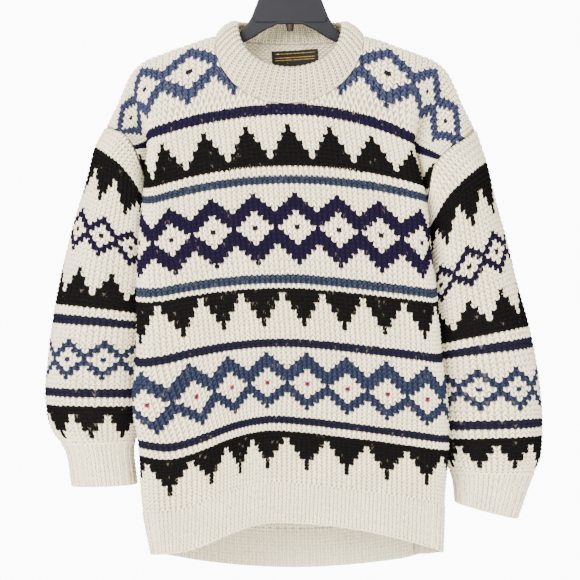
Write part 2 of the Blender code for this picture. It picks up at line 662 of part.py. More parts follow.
def build_label():
    """Woven label that lies on the inside of the back, just below the collar."""
    width, height, thick = LABEL_SIZE
    across = np.linspace(-width / 2, width / 2, 7)
    up = np.linspace(-height / 2, height / 2, 3)
    rows = np.linspace(*LABEL_ROWS, 40)
    outer, inner = [], []
    for b in up:
        x = LABEL_MIDDLE[0] + across * math.cos(LABEL_TILT) - b * math.sin(LABEL_TILT)
        z = LABEL_MIDDLE[1] + across * math.sin(LABEL_TILT) + b * math.cos(LABEL_TILT)
        depth = []
        for px, pz in zip(x, z):
            line = BACK.points(np.full(len(rows), px / LABEL_STITCH), rows)
            face = BACK.normals(np.full(len(rows), px / LABEL_STITCH), rows)
            line = line - face * WALL
            order = np.argsort(line[:, 2])
            depth.append(np.interp(pz, line[order, 2], line[order, 1]))
        depth = np.array(depth) - SEAM - 0.3
        inner.append(np.column_stack((x, depth, z)))
        outer.append(np.column_stack((x, depth - thick, z)))
    add_wall("neck_label", np.array(outer), np.array(inner), False, "label")


def extrude_outline(points, low, high):
    """Closed bmesh solid of an outline in X and Z, between two depths."""
    bm = bmesh.new()
    face = bm.faces.new([bm.verts.new((x, low, z)) for x, z in points])
    made = bmesh.ops.extrude_face_region(bm, geom=[face])
    fresh = [v for v in made["geom"] if isinstance(v, bmesh.types.BMVert)]
    bmesh.ops.translate(bm, vec=(0, high - low, 0), verts=fresh)
    bmesh.ops.recalc_face_normals(bm, faces=bm.faces)
    return bm


def round_edges(bm, offset, segments):
    """Bevel the edges that run round the two flat faces of an extruded outline."""
    chosen = [e for e in bm.edges if abs(e.verts[0].co.y - e.verts[1].co.y) < 1e-6]
    bmesh.ops.bevel(bm, geom=chosen, offset=offset, segments=segments, profile=0.5,
                    affect="EDGES", material=-1)


def hanger_outline():
    """Outline of the hanger, right half from the top of the block round to the arch."""
    upper = list(BLOCK_OUTLINE)
    for out in (*ARM_STEPS, ARM_TIP - 4.0):
        line = np.asarray(SHOULDER_LINE, float)
        top = np.interp(out, line[:, 0], line[:, 1]) - WALL - ARM_CLEARANCE
        upper.append((out, top))
    tip_top = upper[-1][1]
    lower = [(ARM_TIP, tip_top - 5.0), (ARM_TIP - 2.0, tip_top - TIP_HEIGHT)]
    for out, top in upper[-2:len(BLOCK_OUTLINE) - 1:-1]:
        share = (ARM_TIP - out) / (ARM_TIP - ARM_ROOT)
        lower.append((out - 5.0, top - TIP_HEIGHT - (ARM_HEIGHT - TIP_HEIGHT) * share))
    right = upper + lower + list(ARCH_OUTLINE)
    return right + [(-x, z) for x, z in right[::-1]]


def build_hanger():
    """Moulded hanger with its raised plate, its boss and a plain wire hook."""
    half = HANGER_HALF_THICKNESS
    body = extrude_outline(hanger_outline(), -half, half)
    round_edges(body, 2.8, 2)
    add_object("hanger", body, "plastic", 0.42)

    plate = [*PLATE_OUTLINE, *[(-x, z) for x, z in PLATE_OUTLINE[::-1]]]
    front = -half - SEAM
    body = extrude_outline(plate, front - PLATE_THICKNESS, front)
    round_edges(body, 0.7, 2)
    add_object("hanger_plate", body, "plastic", 0.36)

    body = bmesh.new()
    bmesh.ops.create_cone(body, cap_ends=True, segments=16, radius1=BOSS_RADIUS * 0.8,
                          radius2=BOSS_RADIUS, depth=BOSS_HEIGHT)
    bmesh.ops.translate(body, vec=(0, 0, ARCH_HEIGHT - SEAM - BOSS_HEIGHT / 2), verts=body.verts)
    add_object("hanger_boss", body, "pewter", 0.45, 0.7)
    build_hook()


def build_hook():
    """Wire hook whose inner side meets the rail at the origin."""
    middle = -HOOK_RADIUS + WIRE / 2
    points = [(0.0, HOOK_FOOT), (0.0, -50.0), (1.5, -43.0), (6.0, -36.5)]
    for angle in np.radians(np.arange(-40, 201, 15)):
        points.append((HOOK_RADIUS * math.cos(angle), middle + HOOK_RADIUS * math.sin(angle)))
    bm = bmesh.new()
    sides = 8
    rings = []
    flat = np.array(points)
    course = unit(np.gradient(flat, axis=0))
    for (x, z), (dx, dz) in zip(points, course):
        ring = []
        for k in range(sides):
            a = 2 * math.pi * k / sides
            r = WIRE / 2
            ring.append(bm.verts.new((x - dz * r * math.cos(a), r * math.sin(a),
                                      z + dx * r * math.cos(a))))
        rings.append(ring)
    for a, b in zip(rings, rings[1:]):
        for k in range(sides):
            n = (k + 1) % sides
            bm.faces.new((a[k], a[n], b[n], b[k]))
    bm.faces.new(rings[0])
    bm.faces.new(rings[-1])
    add_object("hanger_hook", bm, "steel", 0.25, 1.0)


def main():
    """Clear the scene and build every piece."""
    for old in list(bpy.data.objects):
        bpy.data.objects.remove(old, do_unlink=True)
    build_panels()
    build_hems()
    build_sleeve("left")
    build_sleeve("right")
    build_collar()
    build_label()
    build_hanger()


main()
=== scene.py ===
"""Hand-knitted stranded pullover on a moulded hanger: every stitch is a pair of yarn legs.

The cloth is laid out in stitches and rows. A surface turns a place in stitches (across), rows
(along) and millimetres (lift off the cloth) into a point, and walls and stitches are made flat in
those units first and then carried onto it. Sizes are in millimetres until a mesh is written, which
is in metres.
"""
import logging
import math
from dataclasses import dataclass, field
from enum import Enum
from typing import Callable, Sequence

import bmesh
import bpy
import numpy as np
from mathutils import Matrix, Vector


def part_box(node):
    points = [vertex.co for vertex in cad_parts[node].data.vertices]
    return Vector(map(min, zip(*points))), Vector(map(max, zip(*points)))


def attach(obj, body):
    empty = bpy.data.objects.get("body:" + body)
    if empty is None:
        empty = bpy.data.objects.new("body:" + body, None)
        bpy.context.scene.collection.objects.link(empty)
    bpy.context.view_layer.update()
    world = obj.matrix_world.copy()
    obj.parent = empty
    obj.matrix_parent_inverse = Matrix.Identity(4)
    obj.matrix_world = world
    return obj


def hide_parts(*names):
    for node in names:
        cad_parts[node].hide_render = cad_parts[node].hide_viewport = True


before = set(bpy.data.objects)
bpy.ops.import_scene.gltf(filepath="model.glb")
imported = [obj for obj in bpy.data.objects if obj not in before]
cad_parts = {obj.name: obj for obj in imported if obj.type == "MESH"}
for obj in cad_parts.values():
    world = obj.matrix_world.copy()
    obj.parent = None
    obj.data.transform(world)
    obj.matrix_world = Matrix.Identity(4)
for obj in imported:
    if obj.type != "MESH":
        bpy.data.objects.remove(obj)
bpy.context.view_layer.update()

log = logging.getLogger("pullover")
Points = np.ndarray

MM = 0.001
BODY = "root"
SEED = 41

WALL = 5.0                  # chunky knit, measured through the cloth
SIDE = 41.0                 # stitches from the middle wale to a side seam
UNDERARM = 68.0             # rows from the hem rib up to the underarm
YOKE = 89.0                 # row where the neckline starts to shape the panel
SHOULDER = 107.0            # row of the shoulder seam
HEM_EDGE = -9.5             # row of the lower edge of the hem rib
NECK = 14.0                 # stitches from the middle wale to the neck end of the shoulder
NECK_HALF = 100.0           # half the width of the neckline
FLAT_STITCHES = 24.0        # stitches each side of the middle that keep their flat width
HALF_RIBS = 52              # ribs and furrows across one half of the hem
# The front's left drop starts and ends at these shares of the way out to its edge, up to the
# first of the two rows, and is a parabola from the second row on
SAG_REACH = (0.15, 0.85)
SAG_ROWS = (18.0, 37.0)
RIB_RELIEF = 1.3            # height of a rib over the middle of its wall
LOW_TURN = 150              # degrees that a row turns round the side edge below the underarm
HIGH_TURN = 115             # and beside the armhole
TUCK_INSET = 4.0            # from the armhole's seam in to the tuck beside it
UNDERARM_TUCK = 178.0       # distance of the tuck's bottom from the middle at the underarm
TUCK_DEPTH = 0.12           # depth of that tuck's bottom, as a share of the panel's
HIDDEN_STITCH = 27.0        # stitch from which a row eases to the height of its seam

# row, height at the middle, drop at the left and right, power of the right drop, shift of the
# middle wale, stitch width, left and right edge, depth
FRONT_ROWS = (
    (-9.5, -790, 40, 38, 1.8, 20, 6.65, 186, 205, 54),
    (0, -736, 37, 27, 1.2, 22, 6.65, 197, 207, 58),
    (18, -651, 38, 27, 1.1, 22, 6.65, 204, 213, 62),
    (28, -598, 38, 27, 1.1, 23, 6.65, 212, 211, 64),
    (37, -548, 36, 22, 1.2, 21, 6.65, 207, 204, 64),
    (53, -457, 26, 21, 1.3, 14, 6.8, 206, 196, 62),
    (61, -404, 28, 23, 1.6, 10, 6.95, 204, 189, 60),
    (68, -360, 31, 24, 1.8, 7, 7.0, 201, 186, 56),
    (75, -319, 33, 26, 2.0, 4, 7.0, 197, 181, 52),
    (82, -278, 34, 32, 2.0, -1, 7.0, 195, 173, 47),
    (89, -237, 34, 40, 2.0, -5, 7.0, 193, 168, 42),
)
BACK_ROWS = (
    (-9.5, -863, -20, -20, 2.0, -20, 6.65, 184, 200, 50),
    (0, -809, -24, -24, 2.0, -22, 6.65, 188, 198, 54),
    (18, -698, -18, -18, 2.0, -22, 6.65, 190, 196, 58),
    (28, -637, -16, -16, 2.0, -23, 6.65, 190, 192, 60),
    (37, -581, -14, -14, 2.0, -21, 6.65, 190, 189, 60),
    (53, -483, -14, -14, 2.0, -14, 6.8, 190, 187, 56),
    (61, -433, -12, -12, 2.0, -10, 6.95, 190, 186, 52),
    (68, -390, -8, -8, 2.0, -7, 7.0, 190, 184, 47),
    (75, -347, 0, 0, 2.0, -4, 7.0, 190, 181, 42),
    (82, -304, 10, 10, 2.0, 1, 7.0, 192, 178, 37),
    (89, -261, 20, 20, 2.0, 3, 7.0, 193, 174, 32),
)
# row, height, distance of the tuck's bottom from the middle
SIDE_SEAMS = {
    "left": ((-9.5, -838, 164), (0, -780, 168), (18, -676, 172), (28, -617, 174),
             (37, -562, 173), (53, -463, 172), (61, -412, 174)),
    "right": ((-9.5, -838, 174), (0, -780, 175), (18, -676, 176), (28, -617, 176),
              (37, -562, 173), (53, -463, 172), (61, -412, 174)),
}
# row, distance out, depth of the front half, height, facing (out, forwards, up)
ARMHOLES = {
    "left": ((68, 184, 0, -370, 0.0, 0.0, -1.0), (75, 193, 11, -340, 0.1, 0.6, -0.8),
             (82, 202, 19, -310, 0.1, 0.9, -0.4), (89, 210, 28, -287, 0.2, 0.95, -0.1),
             (96, 223, 36, -270, 0.4, 0.9, 0.1), (102.5, 240, 22, -262, 0.75, 0.6, 0.3),
             (107, 251, 0, -258, 0.88, 0.0, 0.48)),
    "right": ((68, 184, 0, -375, 0.0, 0.0, -1.0), (75, 187, 26, -347, 0.1, 0.7, -0.7),
              (82, 190, 43, -322, 0.15, 0.95, -0.3), (89, 201, 45, -302, 0.2, 0.97, -0.1),
              (96, 219, 38, -286, 0.4, 0.9, 0.1), (102.5, 239, 22, -273, 0.75, 0.6, 0.3),
              (107, 253, 0, -261, 0.88, 0.0, 0.48)),
}
# distance out, height
SHOULDER_LINE = ((100, -131), (134, -143), (178, -159), (208, -174), (222, -195), (230, -215),
                 (241, -238), (252, -260))
NECK_MIDDLE_HEIGHT = -129.0 # where the shoulder line would cross the neck
NECK_BULGE = 27.0           # how far the panel's top stands further out over the neck
SHOULDER_ROLL = 16.0        # depth of the panel where it starts to roll over the shoulder
ROLL_ROWS = 5.0             # rows of that roll
YOKE_ROWS = (92.5, 96.0, 99.5, 102.5, 105.0, 106.3, 107.0)
STATIONS = (0.0, 8.0, 16.0, 20.0, 24.0, 27.0, 30.0, 33.0, 36.0, 38.5, 41.0)
# row, outer side's distance out and height, inner side's distance out and height, extra dip of
# the inner side, half depth, distance of the axis back
SLEEVES = {
    "left": ((66, 265, -284, 190, -331, 42, 42, 2), (60, 275, -322, 190, -365, 28, 44, 4),
             (48.5, 296, -392, 190, -424, 12, 45, 8), (40, 310, -448, 191, -470, 6, 45, 9),
             (32, 320, -497, 192, -510, 3, 44, 9), (20.5, 330, -571, 197, -573, 0, 42, 9),
             (10, 333, -634, 200, -636, 0, 38, 8), (3, 322, -674, 206, -674, 0, 32, 6),
             (0, 309, -690, 212, -686, 0, 29, 5), (-9, 296, -746, 209, -743, 0, 27, 4)),
    "right": ((66, 267, -304, 190, -361, 32, 42, 2), (60, 277, -345, 190, -396, 22, 44, 4),
              (48.5, 297, -417, 190, -472, 10, 45, 8), (40, 311, -474, 191, -515, 5, 45, 9),
              (32, 326, -527, 192, -552, 3, 44, 9), (20.5, 341, -611, 195, -613, 0, 42, 9),
              (10, 344, -676, 201, -680, 0, 38, 8), (3, 339, -714, 212, -714, 0, 34, 6),
              (0, 331, -730, 219, -727, 0, 31, 5), (-9, 309, -790, 226, -768, 0, 28, 4)),
}
SLEEVE_TOP = 71.0           # row of the armhole's seam
CUFF_EDGE = -9.0            # row of the cuff's edge
INNER_RIB_ROWS = 4.0        # rows that the ribs of the back hem go on up the inside
SLEEVE_COLUMNS = 48         # stitches round a sleeve, four to each step of its ring
RIB_ROW = 0.85              # height of a rib's row, in rows of the panels
RIB_START = 0.15            # rows from the lower edge of a rib up to its first stitches
WELT_GAP, COLLAR_GAP = 0.2, 0.6     # rows from its last stitches' lower edge up to its seam or edge
EDGE_DROP = 0.42            # rows that the cast-on edge's beads are laid below the edge
RIB_STITCHES = (0.56, 0.5)  # width of a crest's and a furrow's stitch, as a share of a rib
WELT_ROWS = (-6, -4.5, -3, -1.5, -0.6, -0.06)   # upper lines of the walls of hems and cuffs
# panel, stitch, row, half width in stitches, half length in rows, depth
FOLDS = (
    ("front", -12.5, 8, 3.5, 16, 8), ("front", 12, 4, 5, 15, 5), ("front", -24, 16, 5, 22, 4),
    ("front", 22, 34, 5, 20, 3), ("back", 8, 20, 6, 26, 5), ("back", -14, 30, 6, 24, 4),
)
# Upper edge of the collar: half its width, its height at the sides, its drop and its depth in front
# and behind
COLLAR_HALF = 69.0
COLLAR_SIDE_HEIGHT = -115.0
COLLAR_FRONT_DROP = 64.0
COLLAR_BACK_DROP = -8.0
COLLAR_FRONT_DEPTH = 42.0
COLLAR_BACK_DEPTH = 37.0
COLLAR_BULGE = 5.0          # how far its middle stands out
COLLAR_RIBS = 60
COLLAR_ROWS = 9.0
NECK_INSIDE = (93.0, 104.5) # rows of the back whose inner side shows in the neck
LABEL_TILT = 0.06           # the label's rise along its length
# Stitches that the front's columns stand aside, the columns between which that grows or fades, and
# the rows: at the fold low on the left, and beside the neck
FOLD_DRIFT, FOLD_COLUMNS, FOLD_FADE = 5.0, (6.0, 25.0), (8.0, 40.0)
NECK_DRIFT, NECK_COLUMNS, NECK_RISE = 2.0, (15.0, 27.0), (88.0, 93.0)


def spline_weights(knots: Points, places: Points) -> Points:
    """Share of each knot in a smooth curve through the knots.

    Args:
        knots: Increasing places of the knots.
        places: Places to read.

    Returns:
        One row of shares for each place.
    """
    knots = np.asarray(knots, float)
    places = np.atleast_1d(np.asarray(places, float))
    own = np.eye(len(knots))
    step = np.diff(knots)
    slope = np.diff(own, axis=0) / step[:, None]
    tangent = np.empty_like(own)
    tangent[0], tangent[-1] = slope[0], slope[-1]
    before, after = step[:-1, None], step[1:, None]
    tangent[1:-1] = (slope[:-1] * after + slope[1:] * before) / (before + after)
    index = np.clip(np.searchsorted(knots, places, side="right") - 1, 0, len(knots) - 2)
    length = step[index][:, None]
    t = (places - knots[index])[:, None] / length
    return ((2 * t**3 - 3 * t**2 + 1) * own[index] + (t**3 - 2 * t**2 + t) * length * tangent[index]
            + (3 * t**2 - 2 * t**3) * own[index + 1] + (t**3 - t**2) * length * tangent[index + 1])


def read_table(table: Sequence[Sequence[float]], places: Points) -> Points:
    """Columns of a table after its first, on a smooth curve at the given first-column values."""
    rows = np.asarray(table, float)
    return spline_weights(rows[:, 0], places) @ rows[:, 1:]


def unit(vectors: Points) -> Points:
    """Vectors of length one."""
    return vectors / np.maximum(np.linalg.norm(vectors, axis=-1, keepdims=True), 1e-9)


def eased(values: Points, low: float, high: float) -> Points:
    """Smooth step from 0 at low to 1 at high."""
    t = np.clip((values - low) / (high - low), 0, 1)
    return t * t * (3 - 2 * t)


def shoulder_line(stitch: float) -> tuple[float, float]:
    """Distance out and height of the shoulder seam, by stitches from the middle wale."""
    points = np.asarray(SHOULDER_LINE, float)
    lengths = np.concatenate(([0.0], np.cumsum(np.linalg.norm(np.diff(points, axis=0), axis=1))))
    knots = NECK + lengths / lengths[-1] * (SIDE - NECK)
    if stitch < NECK:
        rise = NECK_MIDDLE_HEIGHT - points[0][1]
        return NECK_HALF * stitch / NECK, points[0][1] + rise * (1 - (stitch / NECK) ** 2)
    return tuple((spline_weights(knots, stitch) @ points)[0])


def shoulder_facing(stitch: float) -> tuple[float, float]:
    """Direction, out and up, that the cloth faces on the shoulder seam."""
    a, b = shoulder_line(max(stitch - 1, NECK)), shoulder_line(min(stitch + 1, SIDE))
    out, up = a[1] - b[1], b[0] - a[0]
    length = math.hypot(out, up)
    return out / length, up / length


def armhole(side: str, facing: float, row: Points) -> tuple[Points, Points]:
    """Outer points and facings of one half of an armhole at the given rows."""
    sign = -1.0 if side == "left" else 1.0
    table = read_table(ARMHOLES[side], row)
    points = np.column_stack((sign * table[:, 0], facing * table[:, 1], table[:, 2]))
    normals = np.column_stack((sign * table[:, 3], facing * table[:, 4], table[:, 5]))
    return points, unit(normals)


def half_row(edge: float, depth: float, bottom: Sequence[float], end: Sequence[float],
             turn: float) -> tuple[Points, Points]:
    """Plan of half a row: flat, a round corner at the edge, a tuck and its end.

    Args:
        edge: Distance of the round edge from the middle.
        depth: Distance of the flat part in front of the seam.
        bottom: Distance out and depth of the tuck's bottom.
        end: The same for the end of the row.
        turn: Degrees that the round corner turns.

    Returns:
        Lengths along the plan, and its points.
    """
    radius = 0.4 * depth
    points = [(0.0, -depth)]
    for angle in np.radians(np.linspace(0, turn, 12)):
        points.append((edge - radius + radius * math.sin(angle),
                       -depth + radius - radius * math.cos(angle)))
    points.append(tuple(bottom))
    if tuple(end) != tuple(bottom):
        points.append(tuple(end))
    plan = np.asarray(points, float)
    lengths = np.concatenate(([0.0], np.cumsum(np.linalg.norm(np.diff(plan, axis=0), axis=1))))
    return lengths, plan


class Surface:
    """A cloth surface, read between the lines of a dense net of points and facings."""

    STEP = 0.5
    closed = False

    def build_net(self, across: Points, along: Points, points: Points, facings: Points) -> None:
        """Keep the dense net.

        Args:
            across: Even places in stitches, one for each column of the net.
            along: Even places in rows, one for each row of the net.
            points: Outer points, rows by columns.
            facings: Outward directions, rows by columns.
        """
        self.across, self.along = across, along
        self.net_points, self.net_facings = points, facings
        across_way = points[1:, 1:] - points[1:, :-1]
        along_way = points[1:, 1:] - points[:-1, 1:]
        self.mirrored = bool(np.sum(np.cross(across_way, along_way) * facings[1:, 1:]) < 0)

    def limit(self, u: Points, v: Points) -> tuple[Points, Points]:
        """Places kept inside the cloth's edges."""
        return np.clip(u, self.across[0], self.across[-1]), np.clip(v, self.along[0], self.along[-1])

    def at(self, u: Points, v: Points, lift: Points) -> Points:
        """Points at places across and along, lifted off the cloth.

        Args:
            u: Places in stitches.
            v: Places in rows.
            lift: Millimetres outwards.

        Returns:
            One point for each place, in millimetres.
        """
        u, v = self.limit(u, v)
        spots = []
        for value, line in ((u, self.across), (v, self.along)):
            place = (value - line[0]) / (line[1] - line[0])
            low = np.clip(place.astype(int), 0, len(line) - 2)
            spots.append((low, (place - low)[:, None]))
        (i, a), (j, b) = spots
        read = []
        for grid in (self.net_points, self.net_facings):
            low = grid[j, i] * (1 - a) + grid[j, i + 1] * a
            high = grid[j + 1, i] * (1 - a) + grid[j + 1, i + 1] * a
            read.append(low * (1 - b) + high * b)
        return read[0] + unit(read[1]) * lift[:, None]


class Panel(Surface):
    """The front or the back, from the hem's edge to the shoulder seams."""

    def __init__(self, name: str, table: Sequence[Sequence[float]], facing: float,
                 neck_drop: float, neck_power: float) -> None:
        """Lay the panel out.

        Args:
            name: The panel's node.
            table: Its rows.
            facing: -1 for the front and 1 for the back.
            neck_drop: Rows from the shoulder down to the neckline.
            neck_power: How round the neckline is.
        """
        self.name, self.facing = name, facing
        self.neck_drop, self.neck_power = neck_drop, neck_power
        self.table = np.asarray(table, float)
        self.stitches = np.array([-s for s in STATIONS[:0:-1]] + list(STATIONS))
        low = [self.row_points(row) for row in self.table[:, 0]]
        yoke = [self.yoke_points(low[-1], row) for row in YOKE_ROWS]
        self.rows = np.concatenate((self.table[:, 0], YOKE_ROWS))
        self.net = np.array(low + yoke)
        across = np.arange(-SIDE, SIDE + 0.01, self.STEP)
        along = np.arange(HEM_EDGE, SHOULDER + 0.01, self.STEP)
        points = np.einsum("vi,uj,ijk->vuk", spline_weights(self.rows, along),
                           spline_weights(self.stitches, across), self.net, optimize=True)
        for panel, stitch, row, width, length, depth in FOLDS:
            if panel == name:
                reach = (((across[None, :] - stitch) / width) ** 2
                         + ((along[:, None] - row) / length) ** 2)
                points[..., 1] -= facing * depth * np.exp(-reach)
        du, dv = np.gradient(points, axis=1), np.gradient(points, axis=0)
        facings = self.edge_facings(across, along, unit(np.cross(du, dv) * -facing))
        self.build_net(across, along, points, facings)

    def row_points(self, row: float) -> Points:
        """Points of one row of the table at every station, from left to right."""
        values = read_table(self.table, row)[0]
        middle, drop_left, drop_right, power_right, shift, width = values[:6]
        left_edge, right_edge, depth = values[6:]
        halves = []
        for sign, edge, drop, power in ((-1, left_edge, drop_left, 2.0),
                                        (1, right_edge, drop_right, power_right)):
            side = "left" if sign < 0 else "right"
            if row < UNDERARM:
                seam_height, tuck = read_table(SIDE_SEAMS[side], row)[0]
                lengths, plan = half_row(edge, depth, (tuck, 0.0), (tuck, 0.0), LOW_TURN)
            else:
                seam = armhole(side, -1.0, row)[0][0]
                seam_height = seam[2]
                tuck = min(edge, abs(seam[0])) - TUCK_INSET if row > UNDERARM else UNDERARM_TUCK
                end = (abs(seam[0]), seam[1])
                lengths, plan = half_row(edge, depth, (tuck, -TUCK_DEPTH * depth), end, HIGH_TURN)
            flat = FLAT_STITCHES * width + sign * shift
            arcs = np.interp(STATIONS, (0, FLAT_STITCHES, SIDE), (sign * shift, flat, lengths[-1]))
            out = np.where(arcs < 0, arcs, np.interp(arcs, lengths, plan[:, 0]))
            deep = np.interp(arcs, lengths, plan[:, 1])
            share = np.minimum(np.abs(out), edge) / edge
            curve = share**power
            if self.facing < 0 and sign < 0:
                curve += (eased(share, *SAG_REACH) - curve) * (1 - eased(row, *SAG_ROWS))
            height = middle - drop * curve
            hidden = np.clip((np.array(STATIONS) - HIDDEN_STITCH) / (SIDE - HIDDEN_STITCH), 0, 1)
            height = height + (seam_height - height) * hidden
            halves.append(np.column_stack((sign * out, -self.facing * deep, height)))
        return np.vstack((halves[0][:0:-1], halves[1]))

    def yoke_points(self, base: Points, row: float) -> Points:
        """Points of a row between the top of the table and the shoulder seam."""
        t = (row - YOKE) / (SHOULDER - YOKE)
        rise = t + 0.42 * t * (1 - t)
        roll = math.sqrt(1 - max(0.0, (row - SHOULDER + ROLL_ROWS) / ROLL_ROWS) ** 2)
        points = []
        for stitch, low in zip(self.stitches, base):
            sign = -1.0 if stitch < 0 else 1.0
            count = abs(stitch)
            if count == SIDE:
                side = "left" if sign < 0 else "right"
                points.append(armhole(side, self.facing, row)[0][0])
                continue
            out, height = shoulder_line(count)
            inside = max(0.0, 1 - (count / NECK) ** 2)
            top_depth = SHOULDER_ROLL + NECK_BULGE * inside
            rolled = 1 - (1 - roll) * min(1.0, (count / NECK) ** 4)
            deep = (abs(low[1]) * (1 - t) + top_depth * t) * rolled
            points.append((low[0] + (sign * out - low[0]) * t, self.facing * deep,
                           low[2] + (height - low[2]) * rise))
        return np.array(points)

    def edge_facings(self, across: Points, along: Points, facings: Points) -> Points:
        """Facings eased to those that the next piece has at the side and shoulder seams."""
        near = eased(np.abs(across), SIDE - 2.0, SIDE)
        for j, row in enumerate(along):
            for sign, side in ((-1.0, "left"), (1.0, "right")):
                edge = np.array((sign, 0.0, 0.0))
                if row >= UNDERARM:
                    edge = armhole(side, self.facing, row)[1][0]
                own = near * (np.sign(across) == sign)
                facings[j] += (edge - facings[j]) * own[:, None]
        top = eased(along, SHOULDER - 2.0, SHOULDER)
        for i, stitch in enumerate(across):
            if abs(stitch) >= NECK:
                out, up = shoulder_facing(abs(stitch))
                edge = np.array((math.copysign(out, stitch), 0.0, up))
                facings[:, i] += (edge - facings[:, i]) * top[:, None]
        return unit(facings)

    def top(self, stitch: Points) -> Points:
        """Row of the panel's upper edge at a stitch."""
        inside = np.clip(1 - (np.abs(stitch) / NECK) ** 2, 0, 1)
        return SHOULDER - self.neck_drop * inside**self.neck_power

    def limit(self, u: Points, v: Points) -> tuple[Points, Points]:
        """Places kept below the neckline and inside the side seams."""
        u, v = super().limit(u, v)
        return u, np.minimum(v, self.top(u))


class Sleeve(Surface):
    """A sleeve and its cuff, from the armhole down; u counts stitches from the shoulder point."""

    RING = 12
    closed = True

    def __init__(self, side: str) -> None:
        """Lay the sleeve out, on the left or right of a viewer in front."""
        self.name = "sleeve_" + side
        self.side = side
        self.sign = -1.0 if side == "left" else 1.0
        knots = np.array([107, 102.5, 96, 89, 82, 75, 68], float)
        front, back = (armhole(side, facing, knots)[0] for facing in (-1.0, 1.0))
        rings, rows = [np.vstack((front, back[-2:0:-1]))], [SLEEVE_TOP]
        for values in SLEEVES[side]:
            rows.append(values[0])
            rings.append(self.ring(values[1:]))
        rows, net = np.array(rows[::-1]), np.array(rings[::-1])
        pad = 3
        wrapped = np.arange(-pad, self.RING + pad + 1)
        across = np.arange(0, SLEEVE_COLUMNS + 0.01, self.STEP)
        along = np.arange(CUFF_EDGE, SLEEVE_TOP + 0.01, self.STEP)
        turn = across * self.RING / SLEEVE_COLUMNS
        points = np.einsum("vi,uj,ijk->vuk", spline_weights(rows, along),
                           spline_weights(wrapped, turn), net[:, wrapped % self.RING],
                           optimize=True)
        looped = np.concatenate((points[:, -2:-1], points, points[:, 1:2]), axis=1)
        du = (looped[:, 2:] - looped[:, :-2]) / 2
        facings = unit(np.cross(du, np.gradient(points, axis=0)) * -self.sign)
        self.build_net(across, along, points, facings)

    def ring(self, values: Sequence[float]) -> Points:
        """Points of one ring of the table."""
        out_x, out_z, in_x, in_z, dip, deep, back = values
        angle = np.arange(self.RING) * 2 * math.pi / self.RING
        share = (1 - np.cos(angle)) / 2
        x = out_x + (in_x - out_x) * share
        z = out_z + (in_z - out_z) * share - dip * share**4
        return np.column_stack((self.sign * x, back - deep * np.sin(angle), z))

    def limit(self, u: Points, v: Points) -> tuple[Points, Points]:
        """Places wrapped round the sleeve."""
        wrapped = np.where(u >= SLEEVE_COLUMNS, u - SLEEVE_COLUMNS * (u > SLEEVE_COLUMNS), u)
        wrapped = np.where(wrapped < 0, wrapped + SLEEVE_COLUMNS, wrapped)
        return wrapped, np.clip(v, self.along[0], self.along[-1])


